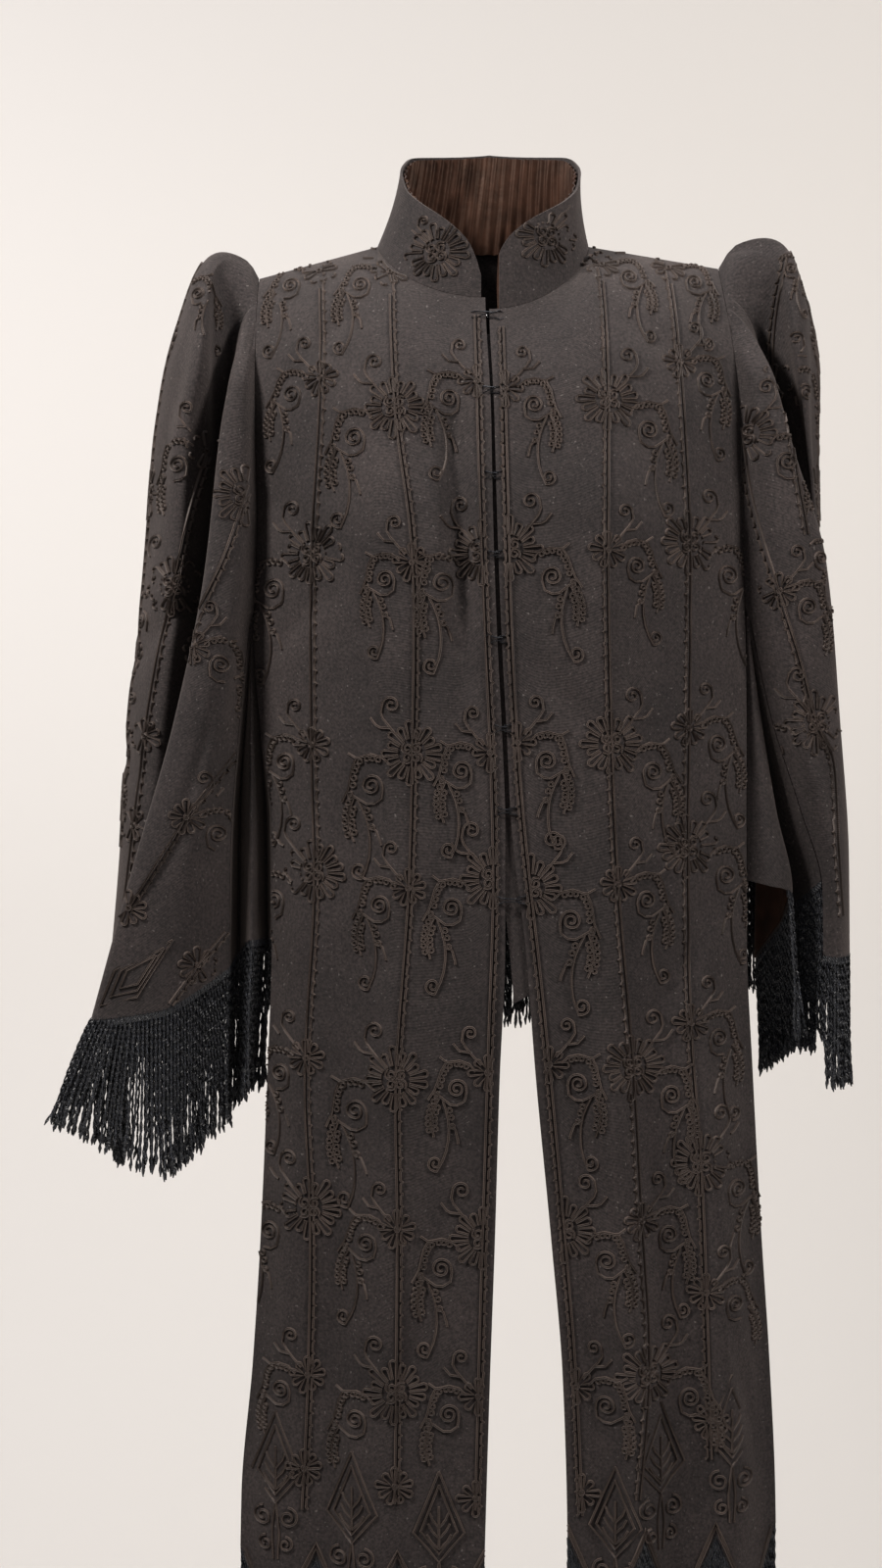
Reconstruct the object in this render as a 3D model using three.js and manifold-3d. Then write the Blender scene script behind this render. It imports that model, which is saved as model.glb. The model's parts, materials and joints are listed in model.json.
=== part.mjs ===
// A late Victorian dolman cape in black-brown wool, standing as it is worn: two long stole fronts with a
// dagged hem, a short back, cape sleeves with gathered heads, plain gussets under the sleeves, a high
// lined collar, hooks and eyes over a fly guard, and silk fringe on every hem.
// Millimetres, +Z up, the front faces -Y. The origin is between the side neck points, where the wearer's
// shoulders carry it. side is -1 for the wearer's right, which is -X, and +1 for the left.
import * as THREE from "three";
import { mergeVertices } from "three/addons/utils/BufferGeometryUtils.js";
import Module from "manifold-3d";

const wasm = await Module();
wasm.setup();

// ---- Driving sizes ----
const CLOTH = 2; // wool and its lining, quilted into one wall
const SEAM = 0.8; // gap that keeps neighbouring pieces apart
const ARMHOLE_SEAM = 1.3; // the same, where the gathered sleeves meet the body
const CHEST = -150; // level where the yoke ends and the hanging cloth starts
const YOKE_SHARE = 0.2; // share of a panel's length that is yoke
const FRINGE_LENGTH = 122;
const HEADING = 5; // height of the band that the fringe is worked on

const GRID = {
  front: { columns: 18, rows: 20 },
  back: { columns: 22, rows: 10 },
  sleeve: { columns: 26, rows: 15 },
  gusset: { columns: 12, rows: 7 },
  collar: { columns: 32, rows: 4 },
};

const NECK = { halfWidth: 84, back: 58, middleY: 2, sideZ: 8, rise: 8 };
const SIDES = {
  "-1": { name: "right", shoulderX: -178, shoulderZ: -18, neckDrop: 54, neckFront: 64, edgeX: 0.5, collarStart: 0.012 },
  1: { name: "left", shoulderX: 187, shoulderZ: -10, neckDrop: 64, neckFront: 69.5, edgeX: 3.5, collarStart: 0.03 },
};

const COLOURS = { wool: 0x2a2523, lining: 0x5a3a2c, silk: 0x0c0c0e, wire: 0x26262a };

// ---- Small mathematics ----
const { lerp, smoothstep, clamp } = THREE.MathUtils;
const vec = (x, y, z) => new THREE.Vector3(x, y, z);
const bump = (x) => (Math.abs(x) < 0.5 ? 0.5 + 0.5 * Math.cos(2 * Math.PI * x) : 0);

// What pick() reads from a table's rows, at a place along key: a cubic with no overshoot between rows.
function tableAt(table, pick, at, key = "z") {
  const last = table.length - 1;
  const sign = Math.sign(table[last][key] - table[0][key]);
  if (sign * (at - table[0][key]) <= 0) return pick(table[0]);
  if (sign * (table[last][key] - at) <= 0) return pick(table[last]);
  const i = table.findIndex((row) => sign * (row[key] - at) > 0) - 1;
  const slope = (k) => (pick(table[k + 1]) - pick(table[k])) / (table[k + 1][key] - table[k][key]);
  const tangent = (k) => {
    if (k === 0 || k === last) return slope(k === 0 ? 0 : last - 1);
    const before = slope(k - 1);
    const after = slope(k);
    return before * after <= 0 ? 0 : (2 * before * after) / (before + after);
  };
  const step = table[i + 1][key] - table[i][key];
  const t = (at - table[i][key]) / step;
  return hermite(pick(table[i]), tangent(i) * step, pick(table[i + 1]), tangent(i + 1) * step, t);
}

function hermite(a, slopeA, b, slopeB, t) {
  const t2 = t * t;
  const t3 = t2 * t;
  return (2 * t3 - 3 * t2 + 1) * a + (t3 - 2 * t2 + t) * slopeA + (3 * t2 - 2 * t3) * b + (t3 - t2) * slopeB;
}

const hermitePoint = (a, slopeA, b, slopeB, t) =>
  vec(
    hermite(a.x, slopeA.x, b.x, slopeB.x, t),
    hermite(a.y, slopeA.y, b.y, slopeB.y, t),
    hermite(a.z, slopeA.z, b.z, slopeB.z, t),
  );

// ---- Meshes ----
// A closed wall of cloth behind surface(across, down), both from 0 to 1. facing is 1 where across x down
// points out. edge(normal, across, down) may turn the normal at a border, so that a seam is mitred.
function wall(surface, columns, rows, thickness, facing, edge = (normal) => normal) {
  const grid = Array.from({ length: rows + 1 }, (_, j) =>
    Array.from({ length: columns + 1 }, (_, i) => surface(i / columns, j / rows)),
  );
  const outer = grid.flat();
  const inner = outer.map((point, k) => {
    const i = k % (columns + 1);
    const j = Math.floor(k / (columns + 1));
    const along = grid[j][Math.min(i + 1, columns)].clone().sub(grid[j][Math.max(i - 1, 0)]);
    const drop = grid[Math.min(j + 1, rows)][i].clone().sub(grid[Math.max(j - 1, 0)][i]);
    const normal = along.cross(drop).multiplyScalar(facing).normalize();
    return point.clone().addScaledVector(edge(normal, i / columns, j / rows), -thickness);
  });
  const width = columns + 1;
  const faces = [];
  const face = (a, b, c) => faces.push(...(facing > 0 ? [a, b, c] : [a, c, b]));
  for (let j = 0; j < rows; j++) {
    for (let i = 0; i < columns; i++) {
      const a = j * width + i;
      const d = a + width;
      face(a, a + 1, d + 1);
      face(a, d + 1, d);
      face(a + outer.length, d + 1 + outer.length, a + 1 + outer.length);
      face(a + outer.length, d + outer.length, d + 1 + outer.length);
    }
  }
  const rim = [];
  for (let i = 0; i < columns; i++) rim.push(i);
  for (let j = 0; j < rows; j++) rim.push(j * width + columns);
  for (let i = columns; i > 0; i--) rim.push(rows * width + i);
  for (let j = rows; j > 0; j--) rim.push(j * width);
  rim.forEach((a, k) => {
    const b = rim[(k + 1) % rim.length];
    face(b, a, a + outer.length);
    face(b, a + outer.length, b + outer.length);
  });
  const geometry = new THREE.BufferGeometry().setFromPoints([...outer, ...inner]);
  geometry.setIndex(faces);
  return geometry;
}

function solidOf(geometry) {
  const bare = geometry.clone();
  bare.deleteAttribute("normal");
  bare.deleteAttribute("uv");
  const merged = mergeVertices(bare, 1e-4);
  const vertProperties = new Float32Array(merged.attributes.position.array);
  return new wasm.Manifold(new wasm.Mesh({ numProp: 3, vertProperties, triVerts: new Uint32Array(merged.index.array) }));
}

function geometryOf(solid) {
  const mesh = solid.getMesh();
  const geometry = new THREE.BufferGeometry();
  geometry.setAttribute("position", new THREE.BufferAttribute(mesh.vertProperties, 3));
  geometry.setIndex(new THREE.BufferAttribute(mesh.triVerts, 1));
  return geometry;
}

// The wall's own flat faces: surface() read between the corners of the grid that its wall is made on.
function faceted(surface, { columns, rows }) {
  const known = new Map();
  const corner = (i, j) => {
    const key = j * (columns + 1) + i;
    if (!known.has(key)) known.set(key, surface(i / columns, j / rows));
    return known.get(key).clone();
  };
  return (across, down) => {
    const i = clamp(Math.floor(across * columns), 0, columns - 1);
    const j = clamp(Math.floor(down * rows), 0, rows - 1);
    const s = across * columns - i;
    const t = down * rows - j;
    const start = corner(i, j);
    const end = corner(i + 1, j + 1);
    const side = s > t ? corner(i + 1, j) : corner(i, j + 1);
    const [first, second] = s > t ? [s - t, t] : [t - s, s];
    return start.multiplyScalar(1 - first - second).addScaledVector(side, first).addScaledVector(end, second);
  };
}

const cape = new THREE.Group();

function add(name, geometry, color, roughness = 0.9, metalness = 0) {
  const mesh = new THREE.Mesh(geometry, new THREE.MeshStandardMaterial({ color, roughness, metalness }));
  mesh.name = name;
  cape.add(mesh);
}

// ---- Neckline ----
// turn is 0 at the centre front, 0.5 at the side neck point and 1 at the centre back.
function neckline(side, turn) {
  const { halfWidth, back, middleY, sideZ, rise } = NECK;
  const cos = Math.cos(turn * Math.PI);
  const sin = Math.sin(turn * Math.PI);
  const x = lerp(turn < 0.5 ? SIDES[side].edgeX : 0, side * halfWidth, sin);
  const { neckFront, neckDrop } = SIDES[side];
  if (cos >= 0) return vec(x, middleY - neckFront * cos, sideZ - neckDrop * cos ** 1.3);
  return vec(x, middleY - back * cos, sideZ + rise * (-cos) ** 1.5);
}

// ---- Stole fronts ----
// One row for each level: the front edge, the side edge, and how far the cloth crowns between them.
const FRONTS = {
  "-1": [
    { z: -150, edgeX: 4, edgeY: -113, sideX: -176.5, sideY: -57, crown: 8 },
    { z: -220, edgeX: 5, edgeY: -126, sideX: -175, sideY: -59, crown: 10 },
    { z: -310, edgeX: 8, edgeY: -129, sideX: -177, sideY: -61, crown: 6 },
    { z: -380, edgeX: 11.5, edgeY: -128, sideX: -171.5, sideY: -63, crown: 5 },
    { z: -450, edgeX: 14, edgeY: -127, sideX: -163.5, sideY: -65, crown: 4 },
    { z: -540, edgeX: 14, edgeY: -126, sideX: -163.2, sideY: -68, crown: 4 },
    { z: -640, edgeX: 10, edgeY: -124, sideX: -166.2, sideY: -71, crown: 4 },
    { z: -760, edgeX: 6.5, edgeY: -122, sideX: -171, sideY: -74, crown: 4 },
    { z: -860, edgeX: 3, edgeY: -120, sideX: -177, sideY: -76, crown: 3 },
    { z: -960, edgeX: 0, edgeY: -118, sideX: -185.5, sideY: -78, crown: 3 },
    { z: -1070, edgeX: -3, edgeY: -116, sideX: -187, sideY: -80, crown: 3 },
  ],
  1: [
    { z: -150, edgeX: 6.5, edgeY: -113, sideX: 198, sideY: -55, crown: 8 },
    { z: -220, edgeX: 8, edgeY: -126, sideX: 198.5, sideY: -58, crown: 10 },
    { z: -310, edgeX: 11.3, edgeY: -129, sideX: 201, sideY: -60, crown: 6 },
    { z: -380, edgeX: 15, edgeY: -128, sideX: 201.5, sideY: -62, crown: 5 },
    { z: -450, edgeX: 18.5, edgeY: -127, sideX: 201, sideY: -64, crown: 4 },
    { z: -540, edgeX: 29, edgeY: -126, sideX: 201, sideY: -67, crown: 2 },
    { z: -640, edgeX: 37, edgeY: -124, sideX: 205, sideY: -70, crown: 0 },
    { z: -760, edgeX: 48.5, edgeY: -121, sideX: 211, sideY: -73, crown: 0 },
    { z: -860, edgeX: 57, edgeY: -118, sideX: 217, sideY: -76, crown: 0 },
    { z: -960, edgeX: 60.5, edgeY: -115, sideX: 221, sideY: -79, crown: 0 },
    { z: -1070, edgeX: 62, edgeY: -113, sideX: 222, sideY: -81, crown: 0 },
  ],
};

// One row for each soft fold: where its crest is across the panel, its width there, how far it stands out
// (or in, where depth is below 0), and the levels where it starts, is full and ends.
const FRONT_FOLDS = {
  "-1": [
    { at: 0.14, width: 0.24, depth: -5, start: -90, full: -230, end: -470 },
    { at: 0.45, width: 0.34, depth: 5, start: -380, full: -640, end: -2000 },
    { at: 0.85, width: 0.3, depth: 6, start: -330, full: -560, end: -2000 },
    { at: 0.66, width: 0.24, depth: -4, start: -420, full: -800, end: -2000 },
  ],
  1: [
    { at: 0.12, width: 0.22, depth: -4, start: -100, full: -240, end: -520 },
    { at: 0.4, width: 0.3, depth: 4, start: -120, full: -300, end: -560 },
    { at: 0.31, width: 0.4, depth: 15, start: -400, full: -760, end: -2000 },
    { at: 0.77, width: 0.4, depth: 14, start: -440, full: -800, end: -2000 },
  ],
};

// The dagged hem: three points of cloth with the fringe showing in the notches between them.
const DAGS = { "-1": { count: 3, notch: -1000, tip: -1062 }, 1: { count: 3, notch: -982, tip: -1052 } };

function frontHem(side, across) {
  const { count, notch, tip } = DAGS[side];
  const phase = (across * count) % 1;
  return lerp(notch, tip, 1 - Math.abs(2 * phase - 1));
}

function foldAt(folds, across, z) {
  return folds.reduce((sum, { at, width, depth, start, full, end }) => {
    const grown = smoothstep(start - z, 0, start - full) * (1 - smoothstep(full - z, 0, full - end));
    return sum + depth * grown * bump((across - at) / width);
  }, 0);
}

// A point of the hanging cloth at a level, before it is spaced by the cloth's own length.
function frontSection(side, share, z) {
  const table = FRONTS[side];
  const read = (name) => tableAt(table, (row) => row[name], z);
  const x = lerp(read("edgeX"), read("sideX"), share);
  const y = lerp(read("edgeY"), read("sideY"), share ** 2.4);
  const out = read("crown") * Math.sin(Math.PI * share) + foldAt(FRONT_FOLDS[side], share, z);
  return vec(x, y - out, z);
}

// Spaces the points of section(share) by length, so that across is measured on the cloth.
function spaced(section, across, samples = 40) {
  const points = Array.from({ length: samples + 1 }, (_, i) => section(i / samples));
  const lengths = points.map((point, i) => (i ? point.distanceTo(points[i - 1]) : 0));
  const goal = across * lengths.reduce((a, b) => a + b, 0);
  let run = 0;
  for (let i = 1; i <= samples; i++) {
    if (run + lengths[i] >= goal - 1e-9) return points[i - 1].lerp(points[i], clamp((goal - run) / lengths[i], 0, 1));
    run += lengths[i];
  }
  return points[samples];
}

const NECK_SHARE = 4 / 9; // share of a front's width that the neckline takes

function frontTop(side, across) {
  const { shoulderX, shoulderZ } = SIDES[side];
  if (across <= NECK_SHARE) return neckline(side, (0.5 * across) / NECK_SHARE);
  const neck = neckline(side, 0.5);
  return neck.lerp(vec(shoulderX, 0, shoulderZ), (across - NECK_SHARE) / (1 - NECK_SHARE));
}

function frontPanel(side, across, down) {
  const hanging = (level) => spaced((share) => frontSection(side, share, level), across);
  if (down >= YOKE_SHARE) return hanging(lerp(CHEST, frontHem(side, across), (down - YOKE_SHARE) / (1 - YOKE_SHARE)));
  const top = frontTop(side, across);
  const chest = hanging(CHEST);
  const reach = top.distanceTo(chest);
  const shoulderness = smoothstep(across, 0, NECK_SHARE);
  const forward = lerp(0.55, 0.9, shoulderness) - 0.12 * smoothstep(across, 0.7, 1);
  const leave = vec(0, -forward, -Math.sqrt(1 - forward ** 2)).multiplyScalar(reach);
  const arrive = hanging(CHEST - 1).sub(chest).normalize().multiplyScalar(reach);
  return hermitePoint(top, leave, chest, arrive, down / YOKE_SHARE);
}

const frontFaces = {
  "-1": faceted((across, down) => frontPanel(-1, across, down), GRID.front),
  1: faceted((across, down) => frontPanel(1, across, down), GRID.front),
};

// ---- Back ----
const BACK = [
  { z: -150, sideL: -172, sideR: 180, sideY: 78, blade: 16, hollow: 3 },
  { z: -260, sideL: -168, sideR: 175, sideY: 84, blade: 12, hollow: 6 },
  { z: -400, sideL: -166, sideR: 172, sideY: 86, blade: 2, hollow: 9 },
  { z: -520, sideL: -167, sideR: 173, sideY: 90, blade: 12, hollow: 3 },
];
const BACK_YOKE_SHARE = 0.4;
const BACK_HEM = { side: -492, centre: -516 };
const BACK_NECK_SHARE = 0.5;

function backSection(share, z) {
  const read = (name) => tableAt(BACK, (row) => row[name], z);
  const arch = Math.sin(Math.PI * share);
  const spine = bump((share - 0.5) / 0.5);
  const y = read("sideY") + read("blade") * arch ** 0.8 - read("hollow") * spine;
  return vec(lerp(read("sideL"), read("sideR"), share), y, z);
}

function backTop(share) {
  const side = share < 0.5 ? -1 : 1;
  const out = Math.abs(2 * share - 1);
  const { shoulderX, shoulderZ } = SIDES[side];
  const gap = vec(0, SEAM, 0);
  if (out <= BACK_NECK_SHARE) return neckline(side, 1 - (0.5 * out) / BACK_NECK_SHARE).add(gap);
  const neck = neckline(side, 0.5);
  return neck.lerp(vec(shoulderX, 0, shoulderZ), (out - BACK_NECK_SHARE) / (1 - BACK_NECK_SHARE)).add(gap);
}

function backPanel(share, down) {
  const hanging = (level) => backSection(share, level);
  const out = Math.abs(2 * share - 1);
  const hem = lerp(BACK_HEM.centre, BACK_HEM.side, out ** 2);
  if (down >= BACK_YOKE_SHARE) return hanging(lerp(CHEST, hem, (down - BACK_YOKE_SHARE) / (1 - BACK_YOKE_SHARE)));
  const top = backTop(share);
  const chest = hanging(CHEST);
  const reach = top.distanceTo(chest);
  const rear = lerp(0.45, 0.85, smoothstep(out, 0, BACK_NECK_SHARE));
  const leave = vec(0, rear, -Math.sqrt(1 - rear ** 2)).multiplyScalar(reach);
  const arrive = vec(0, 0, -1).multiplyScalar(reach * 0.9);
  return hermitePoint(top, leave, chest, arrive, down / BACK_YOKE_SHARE);
}

const backFaces = faceted(backPanel, GRID.back);

// ---- Cape sleeves ----
// One row for each level: the stations that the cloth passes on its way from the front seam, over the
// standing flap and its fold edge, into the valley behind it, and round the arm to the back.
const SLEEVES = {
  "-1": [
    { z: -116, flap: [-185, -72], edge: [-195, -72], valley: [-200, -20], swell: [-222, -70], arm: [-257, 0], rear: [-228, 66] },
    { z: -150, flap: [-185, -78], edge: [-200, -80], valley: [-201, -16], swell: [-229, -64], arm: [-262, 0], rear: [-236, 66] },
    { z: -260, flap: [-190, -88], edge: [-211, -90], valley: [-211, -18], swell: [-236, -58], arm: [-271, 2], rear: [-244, 68] },
    { z: -370, flap: [-207, -96], edge: [-233, -97], valley: [-227, -28], swell: [-250, -48], arm: [-284, 6], rear: [-256, 70] },
    { z: -480, flap: [-226, -101], edge: [-264, -99], valley: [-252, -38], swell: [-268, -34], arm: [-291, 10], rear: [-262, 72] },
    { z: -600, flap: [-244, -101], edge: [-298, -92], valley: [-283, -44], swell: [-294, -16], arm: [-302, 20], rear: [-268, 74] },
  ],
  1: [
    { z: -113, flap: [208, -68], edge: [222, -68], valley: [229, -12], swell: [245, -48], arm: [268, 4], rear: [240, 66] },
    { z: -150, flap: [213, -76], edge: [230, -76], valley: [237, -12], swell: [251, -38], arm: [267, 5], rear: [242, 66] },
    { z: -250, flap: [228, -84], edge: [261, -68], valley: [257, -10], swell: [267, -6], arm: [270, 22], rear: [246, 68] },
    { z: -370, flap: [241, -80], edge: [274, -55], valley: [271, -6], swell: [278, 0], arm: [281, 26], rear: [254, 70] },
    { z: -480, flap: [267, -70], edge: [283, -46], valley: [280, -8], swell: [286, 4], arm: [288, 30], rear: [260, 72] },
    { z: -560, flap: [270, -68], edge: [284, -44], valley: [281, -8], swell: [288, 5], arm: [290, 31], rear: [262, 72] },
  ],
};

// The front seam of each sleeve: along the panel's side to the top of the gusset, and free below it.
const FRONT_SEAMS = {
  "-1": [
    { z: -300, x: -181, y: -62 },
    { z: -370, x: -188, y: -66 },
    { z: -480, x: -195, y: -69 },
    { z: -600, x: -196, y: -69 },
  ],
  1: [
    { z: -300, x: 205.5, y: -62 },
    { z: -370, x: 221, y: -62 },
    { z: -440, x: 243, y: -63 },
    { z: -500, x: 260, y: -60 },
    { z: -600, x: 261, y: -60 },
  ],
};
const GUSSET_TOP = -300;

// The hem level at each station of a sleeve.
const SLEEVE_HEMS = {
  "-1": [-561, -590, -598, -592, -578, -556, -522, -494],
  1: [-552, -553, -553, -532, -516, -502, -492, -492],
};

// The gathered head: how strongly the cloth leaves the armhole upwards and outwards, how far the
// gathers stand up from the seam, and its pleats.
const HEADS = {
  "-1": { level: -116, rise: 120, spread: 150, sink: 190, stand: 8, pleats: 7, pleatDepth: 6 },
  1: { level: -113, rise: 120, spread: 200, sink: 190, stand: 11, pleats: 9, pleatDepth: 7 },
};
const STATIONS = ["flap", "edge", "valley", "swell", "arm", "rear"];
const HEAD_MIDDLE = 0.6; // where, across a sleeve, its head meets the shoulder seam
const FOLD_SHARE = 3 / 7; // where, across a sleeve, its deep fold lies
const FOLD_TURN = 0.16; // where that fold starts on the armhole
const ARMHOLE_Z = -66; // where the armhole curve turns into the side seams
const HEAD_SHARE = 1 / 3; // share of a sleeve's length that is its head

// The point of a column that lies at a level, found by halving.
function levelOn(column, z) {
  let low = 0;
  let high = 1;
  for (let i = 0; i < 24; i++) {
    const middle = (low + high) / 2;
    if (column(middle).z > z) low = middle;
    else high = middle;
  }
  return column((low + high) / 2);
}

// Keeps what make(side, z) gives, as the same levels are asked for many times.
function kept(make) {
  const known = new Map();
  return (side, z) => {
    const key = `${side} ${z.toFixed(3)}`;
    if (!known.has(key)) known.set(key, make(side, z));
    return known.get(key).clone();
  };
}

const frontEdge = kept((side, z) => levelOn((t) => frontFaces[side](1, t), z));
const backEdge = kept((side, z) => levelOn((t) => backFaces(side < 0 ? 0 : 1, t), z));
const frontSide = (side, z) => frontEdge(side, z).add(vec(side * ARMHOLE_SEAM, 0, 0));
const backSide = (side, z) => backEdge(side, z).add(vec(side * ARMHOLE_SEAM, 0, 0));

function frontSeam(side, z) {
  const table = FRONT_SEAMS[side];
  const free = vec(tableAt(table, (row) => row.x, z), tableAt(table, (row) => row.y, z), z);
  if (z <= GUSSET_TOP) return free;
  return frontSide(side, z).lerp(free, smoothstep(GUSSET_TOP + 16 - z, 0, 16));
}

// A smooth line through a row of stations, with each span taking the same share of across.
function lineThrough(points, across) {
  return new THREE.CatmullRomCurve3(points, false, "centripetal").getPoint(clamp(across, 0, 1));
}

function sleeveSection(side, across, z) {
  const read = (name, axis) => tableAt(SLEEVES[side], (row) => row[name][axis], z);
  const between = STATIONS.map((name) => vec(read(name, 0), read(name, 1), z));
  return lineThrough([frontSeam(side, z), ...between, backSide(side, z)], across).setZ(z);
}

function sleeveHem(side, across) {
  const levels = SLEEVE_HEMS[side].map((z) => vec(z, 0, 0));
  return lineThrough(levels, across).x;
}

// Runs from 0 at the front seam to 0.5 at the shoulder and 1 at the back seam.
const headTurn = (across) => {
  if (across < FOLD_SHARE) return (FOLD_TURN * across) / FOLD_SHARE;
  if (across < HEAD_MIDDLE) return lerp(FOLD_TURN, 0.5, (across - FOLD_SHARE) / (HEAD_MIDDLE - FOLD_SHARE));
  return lerp(0.5, 1, (across - HEAD_MIDDLE) / (1 - HEAD_MIDDLE));
};

// The armhole, from the front seam over the shoulder to the back seam.
function armhole(side, across) {
  const climb = 1 - Math.abs(2 * headTurn(across) - 1);
  const { shoulderZ } = SIDES[side];
  const z = lerp(ARMHOLE_Z, shoulderZ, Math.sin((climb * Math.PI) / 2) ** 1.2);
  return across < HEAD_MIDDLE ? frontSide(side, z) : backSide(side, z);
}

function sleeve(side, across, down) {
  const { level } = HEADS[side];
  if (down >= HEAD_SHARE) {
    const z = lerp(level, sleeveHem(side, across), (down - HEAD_SHARE) / (1 - HEAD_SHARE));
    return sleeveSection(side, across, z);
  }
  const t = down / HEAD_SHARE;
  const onSeams = headPoint(side, across, t);
  for (const [border, seam, share] of [
    [0, frontSeam, 1 - smoothstep(across, 0, 0.12)],
    [1, backSide, smoothstep(across, 0.88, 1)],
  ]) {
    const off = seam(side, lerp(ARMHOLE_Z, level, t)).sub(headPoint(side, border, t));
    onSeams.addScaledVector(off, share);
  }
  return onSeams;
}

function headPoint(side, across, t) {
  const { level, rise, spread, sink, stand, pleats, pleatDepth } = HEADS[side];
  const from = armhole(side, across);
  const to = sleeveSection(side, across, level);
  const crown = Math.sin(Math.PI * headTurn(across));
  const lift = crown ** (across < HEAD_MIDDLE ? 1.6 : 0.7);
  const leave = vec(side * spread * crown * lift ** 0.5, 0, lerp(-50, rise, lift));
  const arrive = sleeveSection(side, across, level - 1).sub(to).normalize().multiplyScalar(lerp(50, sink, lift));
  const point = hermitePoint(from, leave, to, arrive, t);
  const gather = pleatDepth * crown * Math.sin(Math.PI * Math.min(1, 1.3 * t + 0.12));
  const pleat = Math.min(1, 20 * t) * (0.5 - 0.5 * Math.cos(2 * Math.PI * pleats * across)) ** 0.7;
  const roll = stand * crown ** 2 * Math.sqrt(Math.min(1, 16 * t)) * (1 - t) ** 2;
  return point.add(vec(side * 0.6, 0, 0.8).multiplyScalar(gather * pleat)).add(vec(0, 0, roll));
}

// ---- Gussets ----
// Plain cloth between each front and its sleeve, in folds that open towards the hem.
const GUSSETS = {
  "-1": [
    { z: -303, dip: [-178.3, -58.5], crest: [-178.9, -58.8], inner: [-179.5, -58.6] },
    { z: -370, dip: [-174, -52], crest: [-179.5, -64], inner: [-184.5, -50] },
    { z: -440, dip: [-170, -44], crest: [-178.5, -70], inner: [-190, -40] },
    { z: -560, dip: [-168, -46], crest: [-177.5, -77], inner: [-191, -44] },
  ],
  1: [
    { z: -303, dip: [202.6, -60.6], crest: [203.4, -60.6], inner: [204.2, -60] },
    { z: -370, dip: [207, -65], crest: [213, -59], inner: [211.5, -45] },
    { z: -440, dip: [213, -69], crest: [224.5, -60], inner: [218, -30] },
    { z: -500, dip: [218, -73], crest: [237, -60], inner: [218, -14] },
    { z: -570, dip: [218, -73], crest: [238, -60], inner: [217, -10] },
  ],
};
const GUSSET_HEMS = { "-1": [-539, -540, -539, -552, -560], 1: [-494, -496, -498, -500, -505, -540, -562, -520, -494] };
// How far a gusset starts from the front's side edge, and ends from the sleeve's seam.
const GUSSET_STARTS = { "-1": [-0.6, 2.2], 1: [0.6, 0.2] };
const GUSSET_ENDS = { "-1": [0.2, 2.2], 1: [-0.4, 1.8] };

function gusset(side, across, down) {
  const hem = lineThrough(GUSSET_HEMS[side].map((z) => vec(z, 0, 0)), across).x;
  const z = lerp(GUSSET_TOP - 3, hem, down);
  const read = (name, axis) => tableAt(GUSSETS[side], (row) => row[name][axis], z);
  const between = ["dip", "crest", "inner"].map((name) => vec(read(name, 0), read(name, 1), z));
  const start = frontEdge(side, z).add(vec(...GUSSET_STARTS[side], 0));
  const end = frontSeam(side, z).add(vec(...GUSSET_ENDS[side], 0));
  return lineThrough([start, ...between, end], across).setZ(z);
}

// ---- Collar ----
// One row for each place round the neck: the rim's level, and how far it leans in from the neckline.
const RIM = [
  { turn: 0, level: -40, lean: 0 },
  { turn: 0.035, level: -10, lean: 0 },
  { turn: 0.07, level: 3, lean: 1 },
  { turn: 0.14, level: 17, lean: 3 },
  { turn: 0.27, level: 34, lean: 8 },
  { turn: 0.36, level: 46, lean: 10 },
  { turn: 0.46, level: 62, lean: 12 },
  { turn: 0.56, level: 75, lean: 12 },
  { turn: 0.68, level: 86, lean: 10 },
  { turn: 1, level: 95, lean: 5 },
];
const COLLAR_TILT = 6; // the rim stands this far towards the wearer's left

// round goes from the wearer's right front edge, 0, by the back, 0.5, to the left front edge, 1.
function collarPoint(round, up, inset = 0) {
  const side = round < 0.5 ? -1 : 1;
  const turn = Math.max(1 - Math.abs(2 * round - 1), SIDES[side].collarStart);
  const base = neckline(side, turn);
  base.z += SEAM;
  const rim = tableAt(RIM, (row) => row.level, turn, "turn");
  const lean = tableAt(RIM, (row) => row.lean, turn, "turn");
  const inward = vec(-base.x, -(base.y - NECK.middleY), 0).normalize();
  const settled = 1 - (1 - up) ** 1.7;
  const point = base.clone().setZ(lerp(base.z, rim, up)).addScaledVector(inward, lean * settled + inset);
  return point.add(vec(COLLAR_TILT * up * smoothstep(turn, 0, 0.3), 0, 0));
}

// ---- Build the cloth ----
// A shoulder seam is mitred upright, so that front and back walls meet face to face.
const mitred = (share) => (normal, across, down) =>
  down === 0 && share(across) ? normal.clone().setY(0).normalize() : normal;

// A sleeve's edges never lean in over the body.
const clearOfBody = (side) => (normal, across) =>
  (across === 0 || across === 1) && normal.x * side > 0 ? normal.clone().setX(0).normalize() : normal;

for (const side of [-1, 1]) {
  const { name } = SIDES[side];
  const onShoulder = (across) => across > NECK_SHARE;
  const front = (across, down) => frontPanel(side, across, down);
  add(`front_${name}`, wall(front, GRID.front.columns, GRID.front.rows, CLOTH, -side, mitred(onShoulder)), COLOURS.wool);
  const sleeved = (across, down) => sleeve(side, across, down);
  add(`sleeve_${name}`, wall(sleeved, GRID.sleeve.columns, GRID.sleeve.rows, CLOTH, -side, clearOfBody(side)), COLOURS.wool);
  const gusseted = (across, down) => gusset(side, across, down);
  add(`gusset_${name}`, wall(gusseted, GRID.gusset.columns, GRID.gusset.rows, CLOTH, -side), COLOURS.wool);
}

const onBackShoulder = (share) => Math.abs(2 * share - 1) > BACK_NECK_SHARE;
add("back", wall(backPanel, GRID.back.columns, GRID.back.rows, CLOTH, 1, mitred(onBackShoulder)), COLOURS.wool);
add("collar", wall((round, down) => collarPoint(round, 1 - down), GRID.collar.columns, GRID.collar.rows, CLOTH, 1), COLOURS.wool);

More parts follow.
